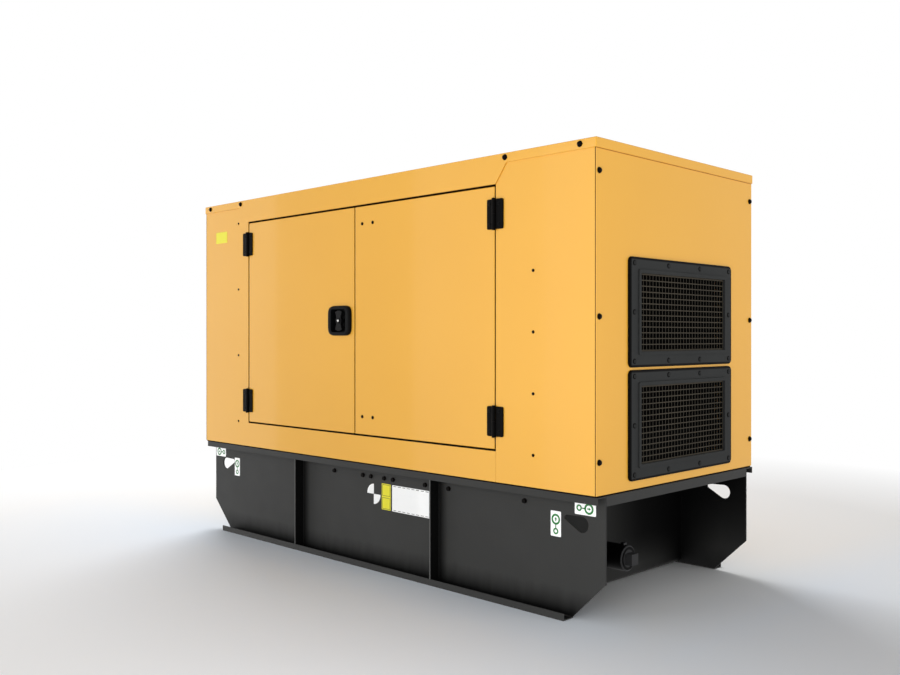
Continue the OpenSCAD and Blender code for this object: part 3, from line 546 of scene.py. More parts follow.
canopy_yellow = Finish("canopy_coat", roughness=0.4, specular=0.15, coat=0.35, coat_roughness=0.06)
lip_level, lip_start = 1.5469, 1.176
height = canopy_yellow.axis("Z")
# A painted shadow line, dark brown, just under the roof's lip on the end panels.
painted_lip_shadow = height.between(lip_level - 0.0037, lip_level - 0.0011) * height.below(lip_level)
painted_lip_shadow = painted_lip_shadow * canopy_yellow.axis("X").size().between(lip_start, lip_start + 0.002)
golden = canopy_yellow.mix(canopy_yellow.noise(2.2, 3), (233, 172, 60), (238, 178, 66))
canopy_yellow.colour(canopy_yellow.mix(painted_lip_shadow, golden, (160, 104, 24)))
canopy_yellow.rough(canopy_yellow.noise(9, 3) * 0.1 + 0.33)
canopy_yellow.relief(canopy_yellow.noise(320, 1), 0.00003)
coat(canopy_yellow, "roof", "right_end_panel", "left_end_panel", "front_right_panel",
     "front_left_panel", "back_right_panel", "back_left_panel",
     "front_left_door", "front_right_door", "back_doors")

cap_bolt = Form().turned([
    (0.0105, 0), (0.0105, 0.001), (0.0098, 0.0018), (0.0088, 0.002), (0.0087, 0.004),
    (0.0078, 0.006), (0.006, 0.0073), (0.003, 0.0079), (0.0003, 0.008)], 24)
roof_edge = [(place, -0.522, 1.564) for place in (1.12, 0.796, -0.868, -1.134)]
Form().spread(cap_bolt, roof_edge, (0, -1, 0)).mirrored().made("roof_bolts", "base_black", fixing_black)

end_bolts = Form()
for end in (-1, 1):
    column = [(end * 1.182, -0.502, level) for level in (0.534, 1.004, 1.474)]
    end_bolts.spread(cap_bolt, column, (end, 0, 0))
end_bolts.mirrored().made("end_panel_bolts", "base_black", fixing_black)


def rivet(radius):
    return Form().turned([(radius, 0), (radius, radius * 0.25), (radius * 0.8, radius * 0.45),
                          (radius * 0.4, radius * 0.55), (radius * 0.35, radius * 0.3),
                          (0.0002, radius * 0.3)], 18)


wall_face = 0.518
for name, place, radius, levels in (("right_wall_rivets", 0.921, 0.0056, (0.536, 0.745, 0.955, 1.164)),
                                    ("left_wall_rivets", -0.892, 0.0052, (0.539, 0.851, 1.163, 1.475))):
    column = [(place, -wall_face, level) for level in levels]
    Form().spread(rivet(radius), column, (0, -1, 0)).mirrored().made(name, "base_black", fixing_black)

for name, side, body in (("stay_screws", -1, "right_door"), ("back_stay_screws", 1, "enclosure")):
    stay_holes = [(place, side * wall_face, level) for place in (0.02, 0.085) for level in (0.614, 1.398)]
    Form().spread(rivet(0.0067), stay_holes, (0, side, 0)).made(
        name, "base_black", fixing_black, body=body)

Form().add(framed(0.098, 0.054, 1), (-1.0405, -wall_face, 1.419), (0, -1, 0)).made(
    "blank_wall_plate", None, yellow_enamel, yellow_enamel)


# ---- Seals and door linings ----
# Black rubber between base, walls and end panels, a bulb seal on the flange round the front doorway
# and one round the back, and egg-crate foam glued in each front leaf's tray.

# Black rubber, with a warm brown tint painted in for the yellow light bounced into the seams.
seal_rubber = Finish("seal_rubber", roughness=0.8, specular=0.03).mottle(
    60, 3, (18, 11, 8), (26, 18, 14))
seal_rubber.relief(seal_rubber.noise(500, 2), 0.0001)
coat(seal_rubber, "canopy_seal", "corner_seals")

flange_front = 0.484
doorway_middle = (-0.0295, 1.0055)
bulb = [(0, 0.0006), (0.002, 0.0004), (0.0032, 0.0022), (0.004, 0.006), (0.004, 0.011), (0.0032, 0.0148),
        (0.002, 0.0166), (0, 0.0168), (0, 0.0006)]
door_seal = Form().cut(rounded(1.548, 0.934, 0.006, 3), bulb, capped=False)
edging_levels = ((0.0002, 0, 0), (0.0325, 0, 0), (0.033, 0.0006, 0.001),
                 (0.0325, 0.0012, 0.0024), (0.0002, 0.0012, 0.0024), (0.0002, 0, 0))
door_seal.loops([[(*point, height) for point in rounded(1.553 - 2 * side, 0.941 - 2 * top, 0.001, 2)]
                 for height, side, top in edging_levels], capped=False)
for side, name, body, strip in ((-1, "front", "right_door", 0.0022), (1, "back", "enclosure", 0.0068)):
    centre_strip = Form().cut(
        rounded(0.025, 0.921, 0.003, 3), [(0, 0), (strip - 0.0006, 0), (strip, 0.0008)])
    Form().add(door_seal, (doorway_middle[0], side * flange_front, doorway_middle[1]), (0, side, 0)).made(
        name + "_door_seal", "seal_rubber", seal_rubber)
    Form().add(centre_strip, (-0.026, side * 0.504, doorway_middle[1]), (-1, 0, 0)).made(
        name + "_centre_strip", "seal_rubber", seal_rubber, body=body)

lining_foam = Finish("lining_foam", roughness=0.95, specular=0.1)
pores = lining_foam.node("TexVoronoi", {"Vector": lining_foam.place(), "Scale": 420})
lining_foam.colour(lining_foam.mix(pores.between(0.0, 0.6), (20, 20, 22), (58, 58, 61)))
lining_foam.relief(pores * 0.7 + lining_foam.noise(90, 3), 0.0012)

tray_inside = -0.5158
foam_pitch = 0.01
foam_wave = 0.05
foam_rim = 0.02


def foam_sheet(left, right, low, high, hole):
    """A grid of foam, flat where it is glued, round a square hole. The hole has a middle and half
    its width."""
    columns, rows = round((right - left) / foam_pitch), round((high - low) / foam_pitch)

    def spot(column, row):
        return left + (right - left) * column / columns, low + (high - low) * row / rows

    def past_hole(across, level):
        return max(abs(across - hole[0]), abs(level - hole[1])) - hole[2]

    def depth(across, level):
        rim = min(across - left, right - across, level - low, high - level, past_hole(across, level))
        wave = cos(tau * across / foam_wave) * cos(tau * level / foam_wave)
        return 0.006 + (0.007 + 0.0085 * wave) * min(1.0, rim / foam_rim) if rim > 0 else 0.005

    form = Form()
    known = {}

    def corner(column, row, back):
        key = (column, row, back)
        if key not in known:
            known[key] = len(form.points)
            across, level = spot(column, row)
            raised = 0 if back else depth(across, level)
            form.points.append(Vector((across, tray_inside + raised, level)))
        return known[key]

    solid = {(column, row) for column in range(columns) for row in range(rows)
             if past_hole(*spot(column + 0.5, row + 0.5)) >= 0}
    for column, row in sorted(solid):
        square = [(column, row), (column + 1, row), (column + 1, row + 1), (column, row + 1)]
        for back in (0, 1):
            form.faces.append(tuple(corner(*place, back) for place in square))
        for place, (along, up) in enumerate(((0, -1), (1, 0), (0, 1), (-1, 0))):
            if (column + along, row + up) not in solid:
                edge = (square[place], square[(place + 1) % 4])
                form.faces.append(tuple(
                    corner(*edge[end], back) for end, back in ((0, 0), (1, 0), (1, 1), (0, 1))))
    form.layers = [0] * len(form.faces)
    return form


for name, body, node, span, hole in (
        ("left_door_foam", "left_door", "front_left_lining", (-0.788, -0.0475), (-0.1195, 1.0055, 0.058)),
        ("right_door_foam", "right_door", "front_right_lining", (-0.0115, 0.729), (0, 0, -inf))):
    foam = foam_sheet(*span, 0.5565, 1.4545, hole).made(name, "lining_foam", lining_foam, body=body)
    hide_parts(node)


# ---- Hinges and latch ----
# Die-cast lift-off hinges, each leaf held by two socket screws, and a recessed latch with a winged
# handle. The castings are satin black; the lock in the middle of the handle has a bright face.

hinge_black = powder_coat("hinge_coat", (7, 7, 7), (13, 12, 11), level=0.03)
coat(hinge_black, "front_left_hinge_leaves", "front_right_hinge_leaves", "frame_hinge_leaves",
     "back_hinges")

hinge_lines = (-0.806, 0.747)
hinge_levels = (0.6405, 1.3705)
leaf_front = 0.524
screw_reach = 0.022

radius, proud = 0.0052, 0.0022
socket_screw = Form().turned([
    (radius * 1.35, 0), (radius * 1.35, proud * 0.25), (radius * 1.1, proud * 0.4),
    (radius * 1.02, proud * 0.1), (radius, proud * 0.7), (radius * 0.85, proud),
    (radius * 0.52, proud), (radius * 0.48, proud * 0.95, 6), (radius * 0.46, proud * 0.2, 6),
    (0.0002, proud * 0.2)], 24)
screw_black = powder_coat("screw_black", (9, 9, 9), (15, 15, 14), gloss=0.35, level=0.05)
left_line, right_line = hinge_lines
for name, body, side, columns in (
        ("left_door_hinge_screws", "left_door", -1, [left_line + screw_reach]),
        ("right_door_hinge_screws", "right_door", -1, [right_line - screw_reach]),
        ("frame_hinge_screws", "enclosure", -1, [left_line - screw_reach, right_line + screw_reach]),
        ("back_hinge_screws", "enclosure", 1,
         [line + reach for line in hinge_lines for reach in (-screw_reach, screw_reach)])):
    holes = [(column, side * leaf_front, level + end)
             for column in columns for level in hinge_levels for end in (-0.036, 0.036)]
    Form().spread(socket_screw, holes, (0, side, 0)).made(name, "hinge_black", screw_black, body=body)

latch_black = powder_coat("latch_moulding", (12, 13, 14), (18, 19, 20), level=0.04)
coat(latch_black, "latch_bezel", "back_latch")

latch_place = (-0.1195, 1.0055)
handle_black = Finish("handle_moulding", roughness=0.35, specular=0.07)
across = handle_black.axis("X") - latch_place[0]
upward = handle_black.axis("Z") - latch_place[1]
from_middle = (across * across + upward * upward) ** 0.5
lock = from_middle.below(0.0048) * handle_black.axis("Y").below(-0.5325)
keyway = (across.size().below(0.0011) * upward.size().below(0.0035)).clipped()
keyed = lock * (1.0 - keyway)
moulding = handle_black.mix(handle_black.noise(30, 3), (10, 10, 11), (18, 18, 19))
moulding = handle_black.mix(lock, moulding, (8, 8, 8))
handle_black.colour(handle_black.mix(keyed, moulding, (214, 214, 210)))
handle_black.feed(handle_black.shader.inputs["Metallic"], keyed)
handle_black.rough(handle_black.noise(14, 3) * 0.14 + 0.3 - keyed * 0.1)
handle_black.relief(handle_black.noise(700, 2) + from_middle.between(0.0041, 0.0048) * 2.0, 0.0001)
coat(handle_black, "latch_handle")


# ---- Grilles ----
# Moulded black frames over the end openings, each held by ten ringed screws, with a grid of bars behind.
# The frames have a fine moulded grain and painted shade round their edges; the bars are coated steel with
# brown road dust, painted shade on their sides and a painted highlight along the level bars.

frame_levels = (0.641, 1.0215)
frame_half = (0.341, 0.186)
bar_pitch = 0.01977


def frame_height(finish):
    """Height from the middle of whichever of the two frames the point is on."""
    height = finish.axis("Z") - frame_levels[0]
    rise = frame_levels[1] - frame_levels[0]
    return height - height.between(rise / 2, rise / 2 + 0.0001) * rise


def frame_painted_light(finish):
    """Painted shade in the corner where the edge of each frame meets the wall."""
    beyond = (finish.axis("Y").size() - frame_half[0]).larger(frame_height(finish).size() - frame_half[1])
    return beyond.between(-0.007, -0.01)


def bar_painted_light(finish):
    """Painted shade on the sides of the bars and partly on the fronts of the upright bars; the fronts of
    the level bars keep the full colour as a painted highlight.
    """
    level_bar = (frame_height(finish) * (pi / bar_pitch)).sine().size().between(0.955, 0.97)
    return finish.facing("X").size().between(0.75, 0.97) * (level_bar * 0.35 + 0.65)


grille_black = powder_coat(
    "grille_moulding", (46, 47, 47), (54, 55, 55), gloss=0.5, level=0.03, painted_light=frame_painted_light)
coat(grille_black, "right_grille_frames", "left_grille_frames")
mesh_grey = powder_coat(
    "grille_bars", (57, 53, 46), (75, 69, 59), gloss=0.5, level=0.03, painted_light=bar_painted_light)
coat(mesh_grey, "right_upper_mesh", "right_lower_mesh", "left_upper_mesh", "left_lower_mesh")

frame_front = 1.192
grille_screw = Form().turned([(0.0092, 0), (0.0092, 0.0012), (0.0086, 0.0016), (0.0068, 0.0016),
                              (0.0062, 0.0003), (0.0002, 0.0003)], 24)
screw_head = Form().turned([(0.0056, 0), (0.0056, 0.0022), (0.005, 0.0029), (0.003, 0.0032),
                            (0.0026, 0.0031, 6), (0.0024, 0.0014, 6), (0.0002, 0.0014)], 24)
grille_screw.add(screw_head, (0, 0, 0), layer=1)
screws = Form()
for end in (-1, 1):
    for level in frame_levels:
        for across in (-0.316, -0.105, 0.105, 0.316):
            for rise in (-0.165, 0.165):
                hole = (end * frame_front, across, level + rise)
                screws.add(grille_screw, hole, (end, 0, 0), across * 7)
        for across in (-0.316, 0.316):
            screws.add(grille_screw, (end * frame_front, across, level), (end, 0, 0), across * 5)
screws.made("grille_screws", "grille_black", hinge_black, grille_black)


# ---- Machine bed, engine and its fittings ----
# A cast iron engine in grey paint on a folded bed: belts on its pulleys, a canister oil filter and a
# fuel filter on the front flank, four injector lines, a dipstick and bolts round the covers.

# The bed takes the tank's coat, with its painted light and shade.
coat(tank_black, "engine_bed")
machine_grey = powder_coat("machine_paint", (112, 113, 108), (134, 135, 128), 0.4, gloss=0.45)
coat(machine_grey, "engine_block", "alternator")
cover_black = powder_coat("cover_paint", (30, 30, 30), (44, 44, 43), 0.3, gloss=0.35, level=0.4)
coat(cover_black, "rocker_cover", "cooling_fan", "air_cleaner")

belt_rubber = Finish("belt_rubber", roughness=0.75, specular=0.2).mottle(
    80, 3, (18, 18, 18), (38, 37, 35))
belt_rubber.relief((belt_rubber.axis("Z") * 900.0).sine(), 0.0003)

pulley_face = 0.857
shaft_level = 0.752
fan_level = 0.882


def belt_route(low_radius, high_radius):
    """Closed line round two pulleys, one above the other."""
    rise = fan_level - shaft_level
    lean = asin((low_radius - high_radius) / rise)
    points = []
    for level, radius, start, sweep in ((fan_level, high_radius, lean, pi - 2 * lean),
                                        (shaft_level, low_radius, pi - lean, pi + 2 * lean)):
        for step in range(25):
            turn = start + sweep * step / 24
            points.append((radius * cos(turn), level + radius * sin(turn)))
    return points


outer_line, inner_line = belt_route(0.0925, 0.0525), belt_route(0.0865, 0.0465)
belts = Form()
belt_section = ((-0.0045, outer_line), (0.0045, outer_line), (0.003, inner_line),
                (-0.003, inner_line), (-0.0045, outer_line))
for groove in (0.01, 0.026):
    belts.loops([[(pulley_face + groove + half, y, z) for y, z in line]
                 for half, line in belt_section], capped=False)
belts.made("drive_belts", "moulded_black", belt_rubber)

zinc = Finish("zinc_plate", roughness=0.35, metallic=1.0).mottle(
    60, 4, (150, 150, 146), (186, 184, 176))
zinc.rough(zinc.noise(90, 3) * 0.25 + 0.28)

filter_can = Finish("filter_can", roughness=0.3, specular=0.5).mottle(
    30, 3, (216, 214, 206), (236, 234, 228))
filter_can.rough(filter_can.noise(50, 3) * 0.2 + 0.2)


def canister(radius, length):
    """Spin-on can with a rolled seam, flutes at its lower end and a seat at its top."""
    return Form().turned([
        (radius * 0.5, 0), (radius * 0.86, 0.002), (radius * 0.96, 0.008), (radius * 0.96, 0.03, 12),
        (radius * 0.97, 0.034), (radius, 0.036), (radius, length - 0.012),
        (radius * 1.04, length - 0.01), (radius * 1.04, length), (radius * 0.9, length + 0.002)], 48)


flank = -0.15
heads = Form()
for name, radius, length, across, drop, low in (("oil_filter", 0.047, 0.12, 0.56, -0.062, 0.76),
                                                ("fuel_filter", 0.04, 0.13, 0.42, -0.058, 0.8)):
    top = low + length + 0.002
    Form().add(canister(radius, length), (across, flank + drop, low)).made(
        name, "machine_grey", filter_can)
    heads.add(Form().cut(rounded(0.084, 0.1, 0.02), [(0, 0), (0.034, 0), (0.038, 0.004)]),
              (across, flank + drop + 0.012, top))
    heads.add(hex_bolt(0.017, 0.01), (across, flank + drop, top + 0.038))
heads.made("filter_heads", "machine_grey", machine_grey)


def bent(points, radius=0.03, steps=6):
    """A route through the points, with each inner corner rounded."""
    points = [Vector(point) for point in points]
    route = [points[0]]
    for before, corner, after in zip(points, points[1:], points[2:]):
        reach = min(radius, (before - corner).length / 2, (after - corner).length / 2)
        enter = corner + (before - corner).normalized() * reach
        leave = corner + (after - corner).normalized() * reach
        for step in range(steps + 1):
            part = step / steps
            route.append(enter.lerp(corner, part).lerp(corner.lerp(leave, part), part))
    return route + [points[-1]]


pump_side = flank - 0.04
pump = Form().add(
    Form().turned([(0.045, 0), (0.045, 0.05), (0.038, 0.056), (0.038, 0.15), (0.03, 0.158)], 32),
    (0.65, pump_side, 0.96), (1, 0, 0))
nozzle_side, nozzle_level = -0.094, 1.092
lines = Form()
for place, nozzle in enumerate((0.35, 0.472, 0.594, 0.716)):
    start = 0.668 + 0.032 * place
    high = 1.118 + 0.008 * place
    pump.add(hex_bolt(0.014, 0.014), (start, pump_side, 0.998))
    lines.tube(bent([(start, pump_side, 1.006), (start, pump_side, high), (nozzle, pump_side, high),
                     (nozzle, nozzle_side, high), (nozzle, nozzle_side, nozzle_level)], 0.02), 0.0032, 8)
    lines.add(hex_bolt(0.017, 0.016), (nozzle, nozzle_side, nozzle_level))
pump.made("injection_pump", "machine_grey", zinc)
lines.made("injector_lines", "machine_grey", zinc)

stick_place, loop_radius = 0.49, 0.014
dipstick = Form().tube(bent([(stick_place, flank, 0.7), (stick_place, pump_side, 0.8),
                             (stick_place, pump_side, 1.06)]), 0.0045, 8)
dipstick.tube([(stick_place + loop_radius * x, pump_side, 1.077 + loop_radius * y)
               for x, y in circle(24) + [(1, 0)]], 0.003, 8)
dipstick.made("dipstick", "machine_grey", zinc)

small_bolt = hex_bolt(0.01, 0.006)
cover_bolts = Form().spread(
    small_bolt, [(0.3 + 0.092 * place, side, 1.102) for place in range(6) for side in (-0.084, 0.084)])
cover_bolts.spread(small_bolt, [(0.858, across, level) for across in (-0.112, 0.112)
                                for level in (0.67, 0.76, 0.85, 0.94)], (1, 0, 0))
cover_bolts.spread(hex_bolt(0.013, 0.006), ring(0.893, (0, shaft_level), 0.055, 6)[1:], (1, 0, 0))
cover_bolts.made("engine_cover_bolts", "machine_grey", zinc)


# ---- Alternator ----
# Ribbed barrel in the engine's paint. Screws hold the terminal box's lid and the bell, and three
# conduits take the cables from the box to the control cabinet.

lid_screws = Form().spread(hex_bolt(0.01, 0.005), [
    (place, side, 1.052) for place in (-0.345, -0.245, -0.175, -0.075) for side in (-0.138, 0.138)])
lid_screws.spread(hex_bolt(0.013, 0.006), ring(-0.43, (0, shaft_level), 0.13, 8)[1:], (-1, 0, 0))
lid_screws.made("alternator_screws", "machine_grey", zinc)

conduit = Finish("conduit", roughness=0.6, specular=0.3).mottle(
    50, 3, (26, 26, 27), (42, 42, 43))
conduit.relief((conduit.axis("X") * 1100.0).sine() + (conduit.axis("Z") * 1100.0).sine(), 0.0006)
gland = Form().turned([(0.017, 0), (0.017, 0.009, 6), (0.015, 0.011), (0.014, 0.018), (0.012, 0.02)], 24)
conduits = Form()
for side in (-0.1, -0.05, 0.0):
    conduits.tube(bent([(-0.35, side, 0.99), (-0.445, side, 0.99), (-0.445, side, 0.845),
                        (-0.56, side, 0.845), (-0.56, side, 0.893)], 0.028), 0.011, 14)
    conduits.add(gland, (-0.35, side, 0.99), (-1, 0, 0)).add(gland, (-0.56, side, 0.892), (0, 0, -1))
conduits.made("cable_conduits", "moulded_black", conduit)


# ---- Radiator, hoses and fan guard ----
# Black radiator with flat tubes and fins set back in its core, rubber hoses to the engine held by
# band clamps, and a wire guard over the fan.

radiator_black = powder_coat("radiator_paint", (9, 9, 8), (16, 15, 14), 0.1, gloss=0.5, level=0.05)
coat(radiator_black, "radiator")
# The core's dark brown is painted warm light, the glow that shows through the grille.
core_painted_warm_light = powder_coat("core_coat_painted_warm_light", (12, 9, 6), (24, 17, 10), gloss=0.6, level=0.05)

core_back = 1.0785
core = Form()
for row in range(63):
    middle = -0.341 + row * 0.011
    core.block((core_back, middle - 0.0011, 0.603), (1.0885, middle + 0.0011, 1.281), 0.0005)
for row in range(112):
    level = 0.606 + row * 0.006
    core.block((core_back, -0.352, level), (1.0868, 0.352, level + 0.0005))
core.made("radiator_core", "chassis_black", core_painted_warm_light)

hose_rubber = Finish("hose_rubber", roughness=0.6, specular=0.3).mottle(
    40, 4, (20, 20, 20), (36, 35, 34))
hose_rubber.relief(hose_rubber.noise(300, 2, (1, 1, 6)), 0.0002)


def band_clamp(radius, width=0.012):
    """Band round a hose or a can, with the housing of its worm screw."""
    half = width / 2
    band = Form().turned([(radius, -half), (radius + 0.0018, -half), (radius + 0.0018, half),
                          (radius, half), (radius, -half)], 32, capped=False)
    return band.block((radius, -0.009, -half * 0.8), (radius + 0.01, 0.009, half * 0.8), 0.001)


hose_runs = (
    (0.023, bent([(1.006, 0.12, 1.322), (0.93, 0.12, 1.322), (0.862, 0.06, 1.25), (0.862, 0.0, 1.18),
                  (0.862, 0.0, 1.047), (0.818, 0.0, 1.047)], 0.05, 8)),
    (0.021, bent([(1.006, -0.35, 0.562), (0.93, -0.35, 0.562), (0.84, -0.3, 0.6), (0.8, -0.215, 0.69),
                  (0.8, -0.215, 0.78), (0.8, -0.148, 0.78)], 0.05, 8)))
hoses = Form()
bands = Form()
for radius, route in hose_runs:
    hoses.tube(route, radius, 20)
    bands.add(band_clamp(radius), (0.985, *route[0][1:]), (1, 0, 0))
bands.add(band_clamp(0.023), (0.834, 0.0, 1.047), (1, 0, 0), pi / 2)
bands.add(band_clamp(0.021), (0.8, -0.166, 0.78), (0, -1, 0))
hoses.made("radiator_hoses", "moulded_black", hose_rubber)
bands.made("hose_clamps", "moulded_black", zinc)

guard_radius = 0.304
guard_middle = (0, fan_level)
guard = Form()
for place in (0.936, 0.918, 0.9):
    guard.tube(ring(place, guard_middle, guard_radius, 96), 0.002, 6)
for bar in zip(*(ring(place, guard_middle, guard_radius, 48)[1:] for place in (0.944, 0.898))):
    guard.tube(bar, 0.0017, 6)
guard.made("fan_guard", "chassis_black", radiator_black)


# ---- Air cleaner, silencer and exhaust ----
# A moulded air cleaner with over-centre clips round its lid, and a rolled steel silencer held on its
# brackets by two straps, with welded cones and a bolted flange at the manifold.

cleaner_axis = (0.145, 1.292)
clips = Form()
clip = Form().cut(rounded(0.014, 0.04, 0.003), [(0, 0), (0.003, 0), (0.004, 0.001)])
clip.tube([(0.0, -0.018, 0.005), (0.0, 0.018, 0.006)], 0.0016, 8)
on_lid = Form().add(clip, (0.0945, 0, 0), (1, 0, 0))
for step in range(6):
    clips.add(on_lid, (0.756, *cleaner_axis), (1, 0, 0), radians(60 * step + 30))
clips.made("air_cleaner_clips", "moulded_black", zinc)

exhaust_steel = Finish("exhaust_steel", roughness=0.4, metallic=0.85)
heat = exhaust_steel.axis("X").between(-0.1, 0.33)
scale = exhaust_steel.mix(exhaust_steel.noise(18, 4), (138, 132, 122), (176, 170, 158))
exhaust_steel.colour(exhaust_steel.mix(heat * exhaust_steel.noise(9, 4), scale, (150, 96, 52)))
exhaust_steel.rough(exhaust_steel.noise(60, 4) * 0.3 + 0.3)
exhaust_steel.relief(exhaust_steel.noise(220, 3), 0.0002)
coat(exhaust_steel, "silencer")

pipe_line = (-0.145, 1.222)
can_radius = 0.0922
flange_reach = 0.0385 * 0.7071
strap_bolt = hex_bolt(0.013, 0.007)
straps = Form()
for place in (-0.255, -0.135):
    straps.add(band_clamp(can_radius, 0.026), (place, *pipe_line), (1, 0, 0), pi / 2)
    straps.add(strap_bolt, (place, pipe_line[0], pipe_line[1] + 0.102))
for place in (-0.3, 0.04):
    straps.tube(ring(place, pipe_line, can_radius, 90), [0.0021, 0.0026] * 45 + [0.0021], 6)
straps.spread(strap_bolt, [(0.3 + flange_reach * along, pipe_line[0] + flange_reach * side, 1.104)
                           for along, side in ((1, 1), (-1, 1), (-1, -1), (1, -1))])
straps.made("silencer_straps", "exhaust_steel", exhaust_steel)


# ---- Control cabinet ----
# Pale grey powder coated cabinet. Its door carries a controller with a dark screen, two dials, a key
# switch, a red stop button on its yellow ring, a row of lamps and a quarter-turn lock.

cabinet_grey = powder_coat("cabinet_coat", (186, 188, 184), (200, 201, 196), 0.2, gloss=0.45)
coat(cabinet_grey, "control_box")
panel_black = powder_coat("panel_moulding", (26, 27, 28), (36, 37, 38), gloss=0.35, level=0.5)
screen_glass = Finish("screen_glass", roughness=0.08, specular=0.6).mottle(
    14, 2, (22, 34, 30), (34, 48, 42))
dial_white = enamel("dial_white", (236, 236, 230), (222, 222, 214))
stop_red = enamel("stop_red", (190, 26, 22), (168, 22, 20))

door_front = -0.33
door_middle = (-0.595, 1.107)
panel_front = 0.006
backing = Form().cut(rounded(0.2, 0.12, 0.008), [(0, 0), (0.004, 0), (panel_front, 0.002)])
screen = Form().cut(rounded(0.098, 0.056, 0.003), [(0, 0), (0.001, 0), (0.0014, 0.0006)])
face = Form().add(backing, (0, 0.115, 0)).add(screen, (-0.036, 0.125, panel_front), layer=1)
key_cap = Form().turned([(0.0065, 0), (0.0065, 0.0018), (0.0052, 0.0026), (0.0002, 0.003)], 20)
keys = [(0.046 + 0.026 * column, 0.156 - 0.026 * row, panel_front)
        for row in range(4) for column in range(2)]
lamps = [(-0.072 + 0.024 * column, 0.08, panel_front) for column in range(4)]
face.spread(key_cap, keys[:2], layer=3).spread(key_cap, keys[2:] + lamps, layer=2)

dial = Form().turned([(0.032, 0), (0.032, 0.006), (0.03, 0.009), (0.027, 0.009), (0.0265, 0.004),
                      (0.0003, 0.004)], 36)
dial.add(Form().turned([(0.0262, 0), (0.0262, 0.0006), (0.0003, 0.0006)], 36), (0, 0, 0.0041), layer=2)
mark = Form().cut([(-0.0007, -0.0025), (0.0007, -0.0025), (0.0007, 0.0025), (-0.0007, 0.0025)],
                  [(0, 0), (0.0003, 0)])
for tick in range(9):
    turn = radians(225 - 33.75 * tick)
    dial.add(mark, (0.0215 * cos(turn), 0.0215 * sin(turn), 0.0047), turn=turn - pi / 2)
needle = [(-0.0012, -0.006), (0.0012, -0.006), (0.0004, 0.019), (-0.0004, 0.019)]
dial.add(Form().cut(needle, [(0, 0), (0.0006, 0)]), (0, 0, 0.0051), turn=0.9, layer=3)
dial.add(Form().turned([(0.0035, 0), (0.003, 0.0022), (0.0002, 0.0026)], 16), (0, 0, 0.0048))
face.spread(dial, [(-0.045, 0.005, 0), (0.045, 0.005, 0)])

for place, layer, steps, profile in (
        ((-0.05, -0.095, 0), 4, 32, [(0.03, 0), (0.03, 0.002), (0.029, 0.003), (0.016, 0.003)]),
        ((-0.05, -0.095, 0.003), 3, 32, [
            (0.014, 0), (0.014, 0.012), (0.0185, 0.014), (0.0195, 0.018), (0.0195, 0.024),
            (0.017, 0.028), (0.01, 0.0295), (0.0003, 0.03)]),
        ((0.05, -0.095, 0), 5, 28, [
            (0.016, 0), (0.016, 0.004), (0.013, 0.008), (0.01, 0.008), (0.0095, 0.006), (0.0003, 0.006)]),
        ((-0.105, -0.01, 0), 5, 28, [(0.013, 0), (0.013, 0.003), (0.011, 0.006), (0.0003, 0.0062)])):
    face.add(Form().turned(profile, steps), place, layer=layer)
face.block((0.0485, -0.101, 0.006), (0.0515, -0.089, 0.022), 0.001, layer=5)
face.block((-0.107, -0.018, 0.0062), (-0.103, -0.002, 0.012), 0.001, layer=5)
Form().add(face, (door_middle[0], door_front, door_middle[1]), (0, -1, 0)).made(
    "control_panel", "moulded_black",
    panel_black, screen_glass, dial_white, stop_red, yellow_enamel, zinc)

barrel = Form().turned([(0.006, -0.024), (0.0065, -0.022), (0.0065, 0.022), (0.006, 0.024)], 16)
louvre = Form().cut(rounded(0.09, 0.006, 0.002), [(0, 0), (0.002, 0), (0.004, 0.0015)])
fittings = Form().spread(barrel, [(-0.4655, door_front + 0.012, level) for level in (0.96, 1.254)])
fittings.spread(louvre, [(-0.46, -0.14, 1.18 + 0.014 * row) for row in range(8)], (1, 0, 0))
fittings.made("cabinet_fittings", "cabinet_grey", cabinet_grey)


# ---- Battery and its leads ----
# Black moulded battery with six vent caps and lead clamps. A red lead runs along the deck under
# three clips to the starter motor, and a black one to an earth bolt.

battery_black = powder_coat("battery_moulding", (24, 24, 25), (36, 36, 37), 0.3, gloss=0.45)
coat(battery_black, "battery")
lead_red = Finish("lead_red", roughness=0.45, specular=0.4).mottle(
    60, 3, (150, 24, 20), (178, 34, 28))
lead_black = Finish("lead_black", roughness=0.45, specular=0.4).mottle(
    60, 3, (20, 20, 20), (36, 36, 36))

cap = Form().turned([(0.0125, 0), (0.0125, 0.006, 12), (0.011, 0.009), (0.0003, 0.0095)], 24)
vents = [(place, 0.19, 0.642) for place in (-0.795, -0.757, -0.719, -0.621, -0.583, -0.545)]
Form().spread(cap, vents).made("battery_caps", "moulded_black", battery_black)

lead_size = 0.0065
deck_line = 0.422 + lead_size
lead_line = 0.3
red_route = bent([(-0.56, 0.105, 0.672), (-0.56, lead_line, 0.672), (-0.5, lead_line, deck_line),
                  (0.44, lead_line, deck_line), (0.46, 0.24, 0.756), (0.352, 0.195, 0.756)], 0.05, 8)
black_route = bent([(-0.78, 0.105, 0.672), (-0.78, lead_line, 0.672), (-0.78, lead_line, deck_line),
                    (-0.86, 0.34, deck_line)], 0.05, 8)
leads = Form().tube(red_route, lead_size, 12, 0).tube(black_route, lead_size, 12, 1)
leads.made("battery_leads", "moulded_black", lead_red, lead_black)

